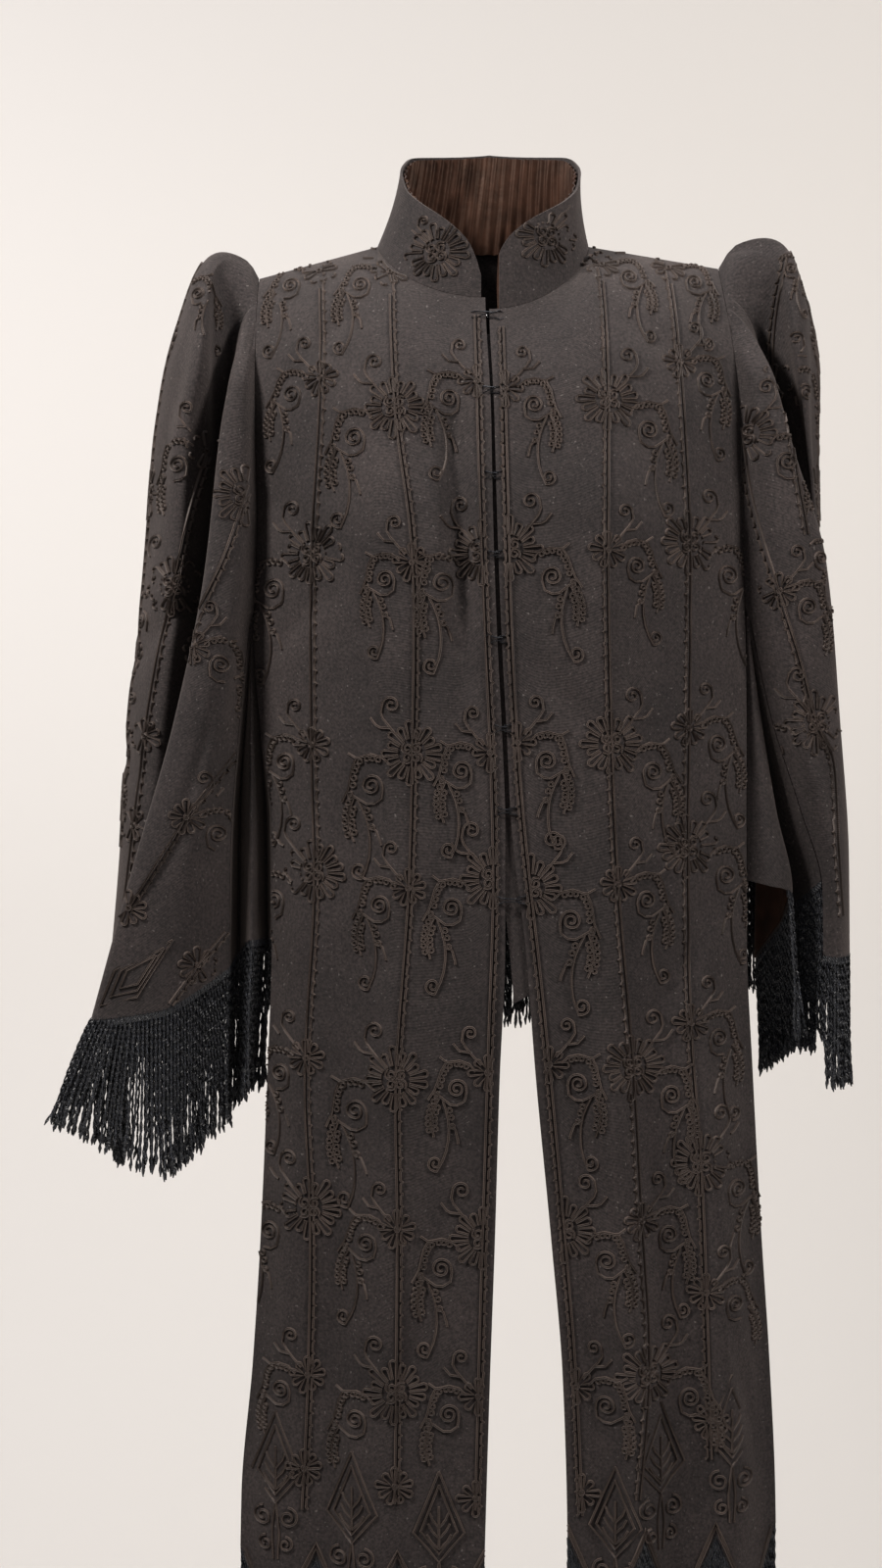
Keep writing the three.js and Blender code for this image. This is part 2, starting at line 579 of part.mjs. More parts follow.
// ---- Gathered collar lining ----
const LINING = { thickness: 1.2, gathers: 26, depth: 2.4, margin: 0.014, hemUp: 0.97, baseUp: 0.06 };

function liningPoint(round, down) {
  const { thickness, gathers, depth, margin, hemUp, baseUp } = LINING;
  const wave = depth * (0.5 - 0.5 * Math.cos(2 * Math.PI * gathers * round));
  const inset = CLOTH + 1.5 + thickness + wave;
  return collarPoint(lerp(margin, 1 - margin, round), lerp(hemUp, baseUp, down), inset);
}
add("collar_lining", wall(liningPoint, 2 * LINING.gathers, 3, LINING.thickness, -1), COLOURS.lining, 0.4);

// ---- Fly guard ----
// A strip behind the left front's edge, reaching past it under the right front; its end is cut on a slant.
const GUARD = { reach: -12, root: 9, top: -76, ends: [-583, -572], thickness: 1.4, gap: 0.8 };
const centreEdge = kept((side, z) => levelOn((t) => frontFaces[side](0, t), z));

function guardPoint(across, down) {
  const { reach, root, top, ends, gap } = GUARD;
  const z = lerp(top, lerp(...ends, across), down);
  const point = centreEdge(1, z);
  const run = centreEdge(1, z - 4).sub(centreEdge(1, z + 4)).setX(0).normalize();
  const behind = vec(0, -run.z, run.y).multiplyScalar(CLOTH + gap);
  return point.add(behind).add(vec(lerp(reach, root, across), 0, 0));
}
add("fly_guard", wall(guardPoint, 3, 16, GUARD.thickness, -1), COLOURS.wool);

// ---- Fringe ----
// A closed rod through points, with the radius at each point and a blunt end at both.
function rod(points, radii, sides) {
  const along = points.map((_, i) =>
    points[Math.min(i + 1, points.length - 1)].clone().sub(points[Math.max(i - 1, 0)]).normalize(),
  );
  const first = Math.abs(along[0].y) < 0.9 ? vec(0, 1, 0) : vec(1, 0, 0);
  let reference = first;
  const rings = points.map((point, i) => {
    const across = reference.clone().addScaledVector(along[i], -reference.dot(along[i])).normalize();
    reference = across;
    const up = along[i].clone().cross(across);
    return Array.from({ length: sides }, (_, k) => {
      const angle = (2 * Math.PI * k) / sides;
      const radius = radii[i];
      return point.clone().addScaledVector(across, radius * Math.cos(angle)).addScaledVector(up, radius * Math.sin(angle));
    });
  });
  const faces = [];
  for (let i = 0; i < points.length - 1; i++) {
    for (let k = 0; k < sides; k++) {
      const a = i * sides + k;
      const b = i * sides + ((k + 1) % sides);
      faces.push(a, b, b + sides, a, b + sides, a + sides);
    }
  }
  const end = (points.length - 1) * sides;
  for (let k = 1; k < sides - 1; k++) faces.push(0, k + 1, k, end, end + k, end + k + 1);
  const geometry = new THREE.BufferGeometry().setFromPoints(rings.flat());
  geometry.setIndex(faces);
  return geometry;
}

const scatter = (k) => {
  const value = Math.sin(k * 12.9898 + 4.1) * 43758.5453;
  return value - Math.floor(value);
};

// A fringe: its band hangs just under a hem, hemAt(across, below), and its locks are fused into the band.
// sway(across) is how far a lock's end moves from under its root.
const HEADING_THICKNESS = 1.5;

function fringe({ hemAt, from = 0, to = 1, columns, gap, heading, length, locks, sway, facing, seed }) {
  const at = (across, below) => hemAt(lerp(from, to, across), below);
  const band = wall((across, down) => at(across, gap + heading * down), columns, 1, HEADING_THICKNESS, facing);
  const strands = Array.from({ length: locks }, (_, k) => {
    const across = (k + 0.5) / locks;
    const column = Math.min(Math.floor(across * columns), columns - 1);
    const knot = (i) => at(i / columns, gap + heading * 0.6);
    const root = knot(column).lerp(knot(column + 1), across * columns - column);
    const along = at(Math.min(across + 0.01, 1), gap).sub(at(Math.max(across - 0.01, 0), gap));
    const inward = vec(along.y, -along.x, 0).normalize().multiplyScalar(facing * HEADING_THICKNESS * 0.5);
    root.add(inward);
    const long = length * (1 + 0.1 * (scatter(seed + k) - 0.5));
    const drift = sway(across).add(vec(4 * (scatter(seed + k + 500) - 0.5), 4 * (scatter(seed + k + 900) - 0.5), 0));
    const down = (share) => root.clone().add(vec(0, 0, -long * share)).addScaledVector(drift, share ** 0.8);
    return solidOf(rod([down(0), down(0.45), down(1)], [0.6, 2, 1.1], 3));
  });
  return geometryOf(wasm.Manifold.union([solidOf(band), ...strands]));
}

const sleeveBelow = (side) => (across, below) => {
  const z = sleeveHem(side, across) - below;
  return sleeveSection(side, across, z);
};
const gussetBelow = (side) => (across, below) => gusset(side, across, 1).add(vec(0, 0, -below));
const backBelow = (share, below) => backPanel(share, 1).add(vec(0, 0, -below));
const frontBelow = (side) => (across, below) => spaced((share) => frontSection(side, share, frontHem(side, across) - below), across);

const FRINGES = {
  sleeve_right: { hemAt: sleeveBelow(-1), columns: 26, gap: 0.6, length: 112, locks: 43, facing: 1, seed: 11,
    sway: (across) => vec(-24 * bump((across - 0.26) / 0.34), 0, 0) },
  sleeve_left: { hemAt: sleeveBelow(1), columns: 26, gap: 0.6, length: 100, locks: 43, facing: -1, seed: 83,
    sway: (across) => vec(4 * bump((across - 0.4) / 0.6), 0, 0) },
  gusset_right: { hemAt: gussetBelow(-1), from: 1 / 12, columns: 11, gap: 0.9, length: 118, locks: 11, facing: 1,
    seed: 151, sway: (across) => vec(lerp(-8, -2, across), 6, 0) },
  gusset_left: { hemAt: gussetBelow(1), from: 5 / 12, columns: 7, gap: 2.3, length: 100, locks: 12, facing: -1,
    seed: 197, sway: (across) => vec(lerp(8, 2, across), 4, 0) },
  back: { hemAt: backBelow, columns: 22, gap: 0.8, length: 110, locks: 26, facing: 1, seed: 241, sway: () => vec(0, 3, 0) },
  front_right: { hemAt: frontBelow(-1), columns: 18, gap: 1.4, length: FRINGE_LENGTH, locks: 24, facing: 1, seed: 307,
    sway: () => vec(0, 0, 0) },
  front_left: { hemAt: frontBelow(1), columns: 18, gap: 2.4, length: FRINGE_LENGTH, locks: 24, facing: -1, seed: 353,
    sway: () => vec(0, 0, 0) },
};

for (const [name, plan] of Object.entries(FRINGES)) {
  const heading = name.startsWith("front") ? 2 * HEADING : HEADING;
  add(`fringe_${name}`, fringe({ heading, ...plan }), COLOURS.silk, 0.5);
}

// ---- Hooks and eyes ----
const FASTENING = { levels: [-62, -125, -191, -250, -313, -379, -440, -506], wire: 0.5, lift: 0.35 };

// The cloth at a distance from the left front's edge, which is on the right front beyond the gap.
function clothBeside(z, along) {
  const left = centreEdge(1, z);
  const right = centreEdge(-1, z);
  const gap = left.x - right.x;
  if (along > -gap && along < 0) return left.lerp(right, -along / gap);
  const side = along < 0 ? -1 : 1;
  const across = (along < 0 ? -gap - along : along) / 200;
  return levelOn((t) => frontFaces[side](across, t), z);
}

// A wire through [along, up, out] points, on the left front's edge at a level.
function wireAt(z, points) {
  const { wire, lift } = FASTENING;
  const run = centreEdge(1, z + 4).sub(centreEdge(1, z - 4)).normalize();
  const out = vec(1, 0, 0).cross(run).normalize();
  const placed = points.map(([along, up, height]) =>
    clothBeside(z + up, along).addScaledVector(out, wire + lift + height),
  );
  return rod(placed, placed.map(() => wire), 4);
}

FASTENING.levels.forEach((z, k) => {
  const gap = centreEdge(1, z).x - centreEdge(-1, z).x;
  const eye = [[7, 2.6, 0], [5.5, 4, 0], [3.5, 2.6, 0], [-1.5, 2.2, 0.2], [-2.4, 0, 0.3], [-1.5, -2.2, 0.2], [3.5, -2.6, 0], [5.5, -4, 0], [7, -2.6, 0]];
  const start = -gap - 8;
  const hook = [[start, 2.2, 0], [start + 2, 3, 0], [-gap - 1, 1.2, 1.8], [0, 0.9, 2], [1.8, 0, 2.2], [0, -0.9, 2], [-gap - 1, -1.2, 1.8], [start + 2, -3, 0], [start, -2.2, 0]];
  add(`eye_${k + 1}`, wireAt(z, eye), COLOURS.wire, 0.4, 1);
  add(`hook_${k + 1}`, wireAt(z, hook), COLOURS.wire, 0.4, 1);
});

export default cape;
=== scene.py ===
import math

import bpy
import numpy as np
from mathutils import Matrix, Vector
from mathutils.bvhtree import BVHTree
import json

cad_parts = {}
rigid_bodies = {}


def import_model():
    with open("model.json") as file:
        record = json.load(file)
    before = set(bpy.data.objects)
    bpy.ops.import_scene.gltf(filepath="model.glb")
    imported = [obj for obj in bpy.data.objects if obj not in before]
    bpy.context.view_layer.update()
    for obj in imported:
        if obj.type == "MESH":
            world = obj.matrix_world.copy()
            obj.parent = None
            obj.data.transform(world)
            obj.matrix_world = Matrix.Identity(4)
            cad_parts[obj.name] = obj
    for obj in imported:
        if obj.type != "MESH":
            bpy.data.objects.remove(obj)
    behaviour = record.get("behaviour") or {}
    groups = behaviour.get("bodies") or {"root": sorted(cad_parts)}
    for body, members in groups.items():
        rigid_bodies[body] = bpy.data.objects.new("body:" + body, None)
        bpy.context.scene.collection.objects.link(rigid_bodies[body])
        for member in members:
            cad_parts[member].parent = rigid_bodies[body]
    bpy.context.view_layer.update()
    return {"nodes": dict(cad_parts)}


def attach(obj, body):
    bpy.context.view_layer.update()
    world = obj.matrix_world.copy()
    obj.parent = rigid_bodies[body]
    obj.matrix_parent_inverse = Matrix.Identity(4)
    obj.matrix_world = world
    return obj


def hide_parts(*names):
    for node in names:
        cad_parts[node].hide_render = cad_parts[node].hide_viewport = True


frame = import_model()
bpy.ops.object.select_all(action="DESELECT")


# ----------------------------------------------------------
# Camera. It stands level with the waist, a little to the wearer's right, and looks straight back.
# The focal length is in pixels of the full frame, so its millimetres come from the sensor.
CAMERA_PLACE = (-0.0335, -1.802, -0.420)
FRAME_HEIGHT_PX = 1600
FOCAL_PX = 2310.0
SENSOR_MM = 36.0

bpy.ops.object.camera_add(location=CAMERA_PLACE, rotation=(math.radians(90), 0, 0))
camera = bpy.context.object
camera.name = "camera"
camera.data.sensor_fit = "AUTO"
camera.data.sensor_width = SENSOR_MM
camera.data.lens = SENSOR_MM * FOCAL_PX / FRAME_HEIGHT_PX
camera.data.clip_end = 50
bpy.context.scene.camera = camera


# ----------------------------------------------------------
# Studio. A pale paper sweep, floor and wall in one, stands well behind the cape. Two soft lamps
# light the cape from in front, one at either side, one hangs above it, and two light the paper.

def table(columns, *rows):
    """Rows of values as dictionaries, under the names of their columns."""
    return [dict(zip(columns.split(), row)) for row in rows]


SWEEP = {"floor": -2.2, "wall": 4.4, "bend": 1.4, "front": -6.0, "top": 6.0, "half_width": 8.0, "steps": 17}
PAPER = (0.74, 0.712, 0.68)
LAMPS = table(
    "name place aim size power tint",
    ("key", (-1.35, -0.95, 1.1), (0, 0, -0.25), 0.4, 78, (1.0, 0.965, 0.925)),
    ("fill", (1.6, -1.2, 0.85), (0.15, 0, -0.2), 0.6, 57, (1.0, 0.955, 0.91)),
    ("top", (0.1, 0.3, 2.0), (0, 0, 0), 1.5, 30, (0.95, 0.97, 1.0)),
    ("paper_left", (-2.6, 1.2, 1.4), (-0.9, 4.4, 0.5), 2.0, 92, (0.98, 0.96, 0.97)),
    ("paper_right", (2.6, 1.2, 1.8), (1.0, 4.4, 1.5), 2.0, 52, (1.0, 0.95, 0.9)),
)
AMBIENT = (0.93, 0.93, 0.97)


def set_sockets(node, **values):
    """Fills in a node's sockets by name, with an underscore for each space."""
    for key, value in values.items():
        node.inputs[key.replace("_", " ")].default_value = value


hub_y, hub_z = SWEEP["wall"] - SWEEP["bend"], SWEEP["floor"] + SWEEP["bend"]
profile = [(SWEEP["front"], SWEEP["floor"])]
for angle in np.linspace(-math.pi / 2, 0, SWEEP["steps"]):
    profile.append((hub_y + SWEEP["bend"] * math.cos(angle), hub_z + SWEEP["bend"] * math.sin(angle)))
profile += [(SWEEP["wall"], SWEEP["top"])]
sweep_points = [(x, y, z) for y, z in profile for x in (-SWEEP["half_width"], SWEEP["half_width"])]
sweep_faces = [(2 * i, 2 * i + 1, 2 * i + 3, 2 * i + 2) for i in range(len(profile) - 1)]
sweep_mesh = bpy.data.meshes.new("paper_sweep")
sweep_mesh.from_pydata(sweep_points, [], sweep_faces)
sweep_mesh.shade_smooth()
sweep = bpy.data.objects.new("paper_sweep", sweep_mesh)
bpy.context.scene.collection.objects.link(sweep)
paper = bpy.data.materials.new("paper")
paper.use_nodes = True
paper_shader = paper.node_tree.nodes["Principled BSDF"]
set_sockets(paper_shader, Base_Color=(*PAPER, 1), Roughness=0.95, Specular_IOR_Level=0.1)
sweep_mesh.materials.append(paper)

for lamp in LAMPS:
    turn = (Vector(lamp["aim"]) - Vector(lamp["place"])).to_track_quat("-Z", "Y").to_euler()
    bpy.ops.object.light_add(type="AREA", location=lamp["place"], rotation=turn)
    light = bpy.context.object
    light.name = "lamp_" + lamp["name"]
    light.data.size = lamp["size"]
    light.data.energy = lamp["power"]
    light.data.color = lamp["tint"]

world = bpy.data.worlds.new("studio_air")
bpy.context.scene.world = world
world.use_nodes = True
set_sockets(world.node_tree.nodes["Background"], Color=(*AMBIENT, 1), Strength=0.2)
bpy.context.scene.view_settings.view_transform = "Standard"


# ----------------------------------------------------------
# Neckline and long fronts. Each front is one length of black-brown wool broadcloth on a lining,
# cut from the shoulder seam to a hem of three points, with soft folds that open lower down.
# All sizes are in millimetres, and side is -1 for the wearer's right, +1 for the left.
CLOTH = 2.0
SEAM = 0.3
CHEST = -150.0
YOKE_SHARE = 0.2
NECK_SHARE = 4 / 9
NECK = {"half_width": 84, "back": 58, "middle_y": 2, "side_z": 8, "rise": 8, "dip": 1.3, "climb": 1.5}
SIDES = table(
    "side name shoulder neck_drop neck_front edge_x collar_start",
    (-1, "right", (-178, 0, -18), 54, 64, 0.5, 0.012),
    (1, "left", (187, 0, -10), 64, 69.5, 3.5, 0.03),
)
SIDES = {row["side"]: row for row in SIDES}
FRONTS = {
    -1: table(
        "z edge side crown",
        (-150, (4, -113), (-176.5, -57), 8),
        (-220, (5, -126), (-175, -59), 10),
        (-310, (8, -129), (-177, -61), 6),
        (-380, (11.5, -128), (-171.5, -63), 5),
        (-450, (14, -127), (-163.5, -65), 4),
        (-540, (14, -126), (-163.2, -68), 4),
        (-640, (10, -124), (-166.2, -71), 4),
        (-760, (6.5, -122), (-171, -74), 4),
        (-860, (3, -120), (-177, -76), 3),
        (-960, (0, -118), (-185.5, -78), 3),
        (-1070, (-3, -116), (-187, -80), 3),
    ),
    1: table(
        "z edge side crown",
        (-150, (6.5, -113), (198, -55), 8),
        (-220, (8, -126), (198.5, -58), 10),
        (-310, (11.3, -129), (201, -60), 6),
        (-380, (15, -128), (201.5, -62), 5),
        (-450, (18.5, -127), (201, -64), 4),
        (-540, (29, -126), (201, -67), 2),
        (-640, (37, -124), (205, -70), 0),
        (-760, (48.5, -121), (211, -73), 0),
        (-860, (57, -118), (217, -76), 0),
        (-960, (60.5, -115), (221, -79), 0),
        (-1070, (62, -113), (222, -81), 0),
    ),
}
FRONT_FOLDS = {
    -1: table(
        "at width depth start full end",
        (0.14, 0.24, -5, -90, -230, -470),
        (0.45, 0.34, 5, -380, -640, -2000),
        (0.85, 0.3, 6, -330, -560, -2000),
        (0.66, 0.24, -4, -420, -800, -2000),
    ),
    1: table(
        "at width depth start full end",
        (0.12, 0.22, -4, -100, -240, -520),
        (0.4, 0.3, 4, -120, -300, -560),
        (0.31, 0.4, 15, -400, -760, -2000),
        (0.77, 0.4, 14, -440, -800, -2000),
    ),
}
DAGS = {-1: {"count": 3, "notch": -1000, "tip": -1062}, 1: {"count": 3, "notch": -982, "tip": -1052}}
SIDE_ROUND = 2.4
FORWARD = {"neck": 0.55, "shoulder": 0.9, "ease": 0.12, "ease_from": 0.7}
FRONT_GRID = (72, 180)
WOOL = (0.0132, 0.0108, 0.0110)
WOOL_LIGHT = (0.0275, 0.0220, 0.0218)


def mix(a, b, t):
    """a at t 0, b at t 1."""
    return a + (b - a) * t


def vec(x, y, z):
    """Points from their three coordinates, whatever shape those have."""
    return np.stack(np.broadcast_arrays(x, y, z), axis=-1).astype(float)


def smooth(x, low, high):
    """0 below low, 1 above high, and an even S between."""
    t = np.clip((x - low) / (high - low), 0, 1)
    return t * t * (3 - 2 * t)


def bump(x):
    """A round hump one unit wide about 0."""
    return np.where(np.abs(x) < 0.5, 0.5 + 0.5 * np.cos(2 * np.pi * x), 0)


def hermite(a, slope_a, b, slope_b, t):
    """A cubic from a to b that leaves and arrives with the given slopes."""
    return (
        (2 * t**3 - 3 * t**2 + 1) * a
        + (t**3 - 2 * t**2 + t) * slope_a
        + (3 * t**2 - 2 * t**3) * b
        + (t**3 - t**2) * slope_b
    )


def read(rows, name, at, key="z"):
    """A named column of a table at places along key: a cubic with no overshoot between rows."""
    rows = sorted(rows, key=lambda row: row[key])
    knots = np.array([row[key] for row in rows], float)
    values = np.array([row[name] for row in rows], float)
    wide = (...,) + (None,) * (values.ndim - 1)
    steps = np.diff(knots)
    slopes = np.diff(values, axis=0) / steps[wide]
    before, after = slopes[:-1], slopes[1:]
    same = before * after > 0
    inner = np.where(same, 2 * before * after / np.where(same, before + after, 1), 0)
    tangents = np.concatenate([slopes[:1], inner, slopes[-1:]])
    at = np.clip(np.asarray(at, float), knots[0], knots[-1])
    i = np.clip(np.searchsorted(knots, at, side="right") - 1, 0, len(steps) - 1)
    step = steps[i][wide]
    t = (at - knots[i])[wide] / step
    return hermite(values[i], tangents[i] * step, values[i + 1], tangents[i + 1] * step, t)


def unit(vectors):
    """The vectors at length 1."""
    return vectors / np.maximum(np.linalg.norm(vectors, axis=-1, keepdims=True), 1e-12)


def neckline(side, turn):
    """The neck edge: turn is 0 at the centre front, 0.5 at the side neck point, 1 at the centre back."""
    turn = np.asarray(turn, float)
    cos, sin = np.cos(turn * np.pi), np.sin(turn * np.pi)
    cut = SIDES[side]
    x = mix(np.where(turn < 0.5, cut["edge_x"], 0), side * NECK["half_width"], sin)
    front = np.maximum(cos, 0)
    back = np.maximum(-cos, 0)
    y = NECK["middle_y"] - cut["neck_front"] * front + NECK["back"] * back
    z = NECK["side_z"] - cut["neck_drop"] * front ** NECK["dip"] + NECK["rise"] * back ** NECK["climb"]
    return vec(x, y, z)


def front_hem(side, across):
    """The level of the dagged hem."""
    cut = DAGS[side]
    phase = (np.asarray(across) * cut["count"]) % 1
    return mix(cut["notch"], cut["tip"], 1 - np.abs(2 * phase - 1))


def folds(rows, across, z):
    """How far the soft folds stand out at a place."""
    out = 0
    for fold in rows:
        grown = smooth(fold["start"] - z, 0, fold["start"] - fold["full"])
        grown = grown * (1 - smooth(fold["full"] - z, 0, fold["full"] - fold["end"]))
        out = out + fold["depth"] * grown * bump((across - fold["at"]) / fold["width"])
    return out


def front_section(side, share, z):
    """A point of the hanging cloth, with share from the front edge to the side edge."""
    edge, hip = read(FRONTS[side], "edge", z), read(FRONTS[side], "side", z)
    x = mix(edge[..., 0], hip[..., 0], share)
    y = mix(edge[..., 1], hip[..., 1], share**SIDE_ROUND)
    out = read(FRONTS[side], "crown", z) * np.sin(np.pi * share) + folds(FRONT_FOLDS[side], share, z)
    return vec(x, y - out, z)


def spaced(section, across, z, samples=48):
    """The section's point at across, measured by the length of the cloth."""
    across, z = np.broadcast_arrays(np.asarray(across, float), np.asarray(z, float))
    shares = np.linspace(0, 1, samples + 1)
    points = section(shares, z[..., None])
    lengths = np.linalg.norm(np.diff(points, axis=-2), axis=-1)
    run = np.concatenate([np.zeros_like(lengths[..., :1]), np.cumsum(lengths, axis=-1)], axis=-1)
    goal = across * run[..., -1]
    i = np.clip((run <= goal[..., None]).sum(axis=-1) - 1, 0, samples - 1)
    start = np.take_along_axis(run, i[..., None], axis=-1)[..., 0]
    length = np.take_along_axis(lengths, i[..., None], axis=-1)[..., 0]
    share = (i + (goal - start) / length) / samples
    return section(share, z)


def front_panel(side, across, down):
    """The whole front, from the neckline and shoulder seam over the chest to the hem."""
    across, down = np.broadcast_arrays(np.asarray(across, float), np.asarray(down, float))

    def hanging(level):
        return spaced(lambda share, z: front_section(side, share, z), across, level)

    fall = np.clip((down - YOKE_SHARE) / (1 - YOKE_SHARE), 0, 1)
    low = hanging(mix(CHEST, front_hem(side, across), fall))
    chest = hanging(np.full(across.shape, CHEST))
    neck = neckline(side, 0.5 * np.minimum(across / NECK_SHARE, 1))
    out = np.clip((across - NECK_SHARE) / (1 - NECK_SHARE), 0, 1)[..., None]
    top = np.where(out > 0, mix(neckline(side, 0.5), np.array(SIDES[side]["shoulder"], float), out), neck)
    reach = np.linalg.norm(top - chest, axis=-1)
    forward = mix(FORWARD["neck"], FORWARD["shoulder"], smooth(across, 0, NECK_SHARE))
    forward = forward - FORWARD["ease"] * smooth(across, FORWARD["ease_from"], 1)
    leave = vec(0, -forward, -np.sqrt(1 - forward**2)) * reach[..., None]
    arrive = unit(hanging(np.full(across.shape, CHEST - 1)) - chest) * reach[..., None]
    yoke = hermite(top, leave, chest, arrive, np.clip(down / YOKE_SHARE, 0, 1)[..., None])
    return np.where((down >= YOKE_SHARE)[..., None], low, yoke)


def grid_of(surface, columns, rows):
    """The points of a surface on an even grid, [row, column]."""
    across, down = np.meshgrid(np.linspace(0, 1, columns + 1), np.linspace(0, 1, rows + 1))
    return surface(across, down)


def normals_of(grid, facing):
    """The outward direction at each point of a grid."""
    return unit(np.cross(np.gradient(grid, axis=1), np.gradient(grid, axis=0)) * facing)


def mesh_object(name, points, faces, material, uvs, smooth_angle=50):
    """A new piece from points in millimetres, riding on the cape and finished in one material."""
    mesh = bpy.data.meshes.new(name)
    mesh.from_pydata((np.asarray(points) / 1000).tolist(), [], faces)
    if uvs is not None:
        layer = mesh.uv_layers.new(name="cloth")
        corners = np.empty(len(mesh.loops), int)
        mesh.loops.foreach_get("vertex_index", corners)
        layer.data.foreach_set("uv", (np.asarray(uvs)[corners] / 1000).ravel())
    mesh.materials.append(material)
    mesh.shade_smooth()
    mesh.set_sharp_from_angle(angle=math.radians(smooth_angle))
    piece = bpy.data.objects.new(name, mesh)
    bpy.context.scene.collection.objects.link(piece)
    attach(piece, "root")
    return piece


def wall(name, grid, thickness, facing, material, edge_normals=None):
    """A closed wall of cloth behind a grid of points, with its UV in metres along the cloth."""
    rows, columns = grid.shape[0] - 1, grid.shape[1] - 1
    normals = normals_of(grid, facing)
    if edge_normals is not None:
        normals = edge_normals(normals)
    inner = grid - normals * thickness
    width = columns + 1
    count = width * (rows + 1)
    i, j = np.meshgrid(np.arange(columns), np.arange(rows))
    a = (j * width + i).ravel()
    b, c, d = a + 1, a + width + 1, a + width
    outside = np.stack([a, b, c, d], axis=1) if facing > 0 else np.stack([a, d, c, b], axis=1)
    inside = outside[:, ::-1] + count
    rim = list(range(columns)) + [j * width + columns for j in range(rows)]
    rim += [rows * width + i for i in range(columns, 0, -1)] + [j * width for j in range(rows, 0, -1)]
    ends = rim[1:] + rim[:1]
    if facing > 0:
        border = [(q, p, p + count, q + count) for p, q in zip(rim, ends)]
    else:
        border = [(p, q, q + count, p + count) for p, q in zip(rim, ends)]
    faces = outside.tolist() + inside.tolist() + border
    along = np.cumsum(np.linalg.norm(np.diff(grid, axis=1, prepend=grid[:, :1]), axis=-1), axis=1)
    fall = np.cumsum(np.linalg.norm(np.diff(grid, axis=0, prepend=grid[:1]), axis=-1), axis=0)
    uv = np.stack([along, -fall], axis=-1).reshape(-1, 2)
    points = np.concatenate([grid.reshape(-1, 3), inner.reshape(-1, 3)])
    return mesh_object(name, points, faces, material, uvs=np.concatenate([uv, uv]))


def add_node(tree, kind, **values):
    """A node with its sockets or settings filled in by name."""
    node = tree.nodes.new(kind)
    for key, value in values.items():
        name = key.replace("_", " ")
        if name in node.inputs:
            node.inputs[name].default_value = value
        else:
            setattr(node, key, value)
    return node


def new_material(name):
    """A material, its node tree and shader, and the coordinates of its object and of its cloth."""
    material = bpy.data.materials.new(name)
    material.use_nodes = True
    tree = material.node_tree
    place = add_node(tree, "ShaderNodeTexCoord").outputs["Object"]
    return material, tree, tree.nodes["Principled BSDF"], place


def along_cloth(tree):
    """The UV map of a piece of cloth or braid, in metres along it."""
    return add_node(tree, "ShaderNodeUVMap", uv_map="cloth").outputs["UV"]


def texture(tree, kind, place, **values):
    """The height of a texture at a place."""
    node = add_node(tree, f"ShaderNodeTex{kind}", **values)
    tree.links.new(place, node.inputs["Vector"])
    return node.outputs["Fac"]


def ramp(tree, factor, low, high, from_at, to_at):
    """A colour between low and high as factor goes from from_at to to_at."""
    node = tree.nodes.new("ShaderNodeValToRGB")
    for element, at, colour in zip(node.color_ramp.elements, (from_at, to_at), (low, high)):
        element.position, element.color = at, (*colour, 1)
    tree.links.new(factor, node.inputs["Fac"])
    return node.outputs["Color"]


def blended(tree, kind, first, second):
    """Two colours multiplied or added."""
    node = add_node(tree, "ShaderNodeMix", data_type="RGBA", blend_type=kind)
    node.inputs["Factor"].default_value = 1
    tree.links.new(first, node.inputs[6])
    tree.links.new(second, node.inputs[7])
    return node.outputs[2]


def finish(tree, shader, colour, bumps, **values):
    """Colours a shader, sets its sockets, and adds bumps: (height, strength, distance in metres)."""
    tree.links.new(colour, shader.inputs["Base Color"])
    set_sockets(shader, **values)
    last = None
    for height, strength, distance in bumps:
        node = add_node(tree, "ShaderNodeBump", Strength=strength, Distance=distance)
        tree.links.new(height, node.inputs["Height"])
        if last is not None:
            tree.links.new(last.outputs["Normal"], node.inputs["Normal"])
        last = node
    tree.links.new(last.outputs["Normal"], shader.inputs["Normal"])


# Broadcloth: a fine twill under a short nap, a little rubbed and dusty.
wool, tree, shader, place = new_material("wool_broadcloth")
nap = texture(tree, "Noise", place, Scale=480, Detail=3, Roughness=0.6)
patches = texture(tree, "Noise", place, Scale=11, Detail=5, Roughness=0.6)
rumple = texture(tree, "Noise", place, Scale=26, Detail=2, Roughness=0.5)
lint = texture(tree, "Noise", place, Scale=420, Detail=1, Roughness=0.4)
twill = texture(tree, "Wave", along_cloth(tree), Scale=300, Distortion=1.2, bands_direction="DIAGONAL")
base = ramp(tree, patches, WOOL, WOOL_LIGHT, 0.3, 0.75)
grain = ramp(tree, nap, (0.56, 0.56, 0.56), (1.56, 1.5, 1.46), 0.34, 0.68)
specks = ramp(tree, lint, (0, 0, 0), (0.055, 0.05, 0.047), 0.71, 0.78)
finish(
    tree,
    shader,
    blended(tree, "ADD", blended(tree, "MULTIPLY", base, grain), specks),
    [(rumple, 0.35, 0.004), (twill, 0.3, 0.0003), (nap, 0.6, 0.0005)],
    Roughness=0.86,
    Specular_IOR_Level=0.22,
    Sheen_Weight=0.16,
    Sheen_Roughness=0.45,
    Sheen_Tint=(0.62, 0.50, 0.44, 1),
)
CREASE_EASE = {"sides": 9, "ends": 12, "fade": 0.6}


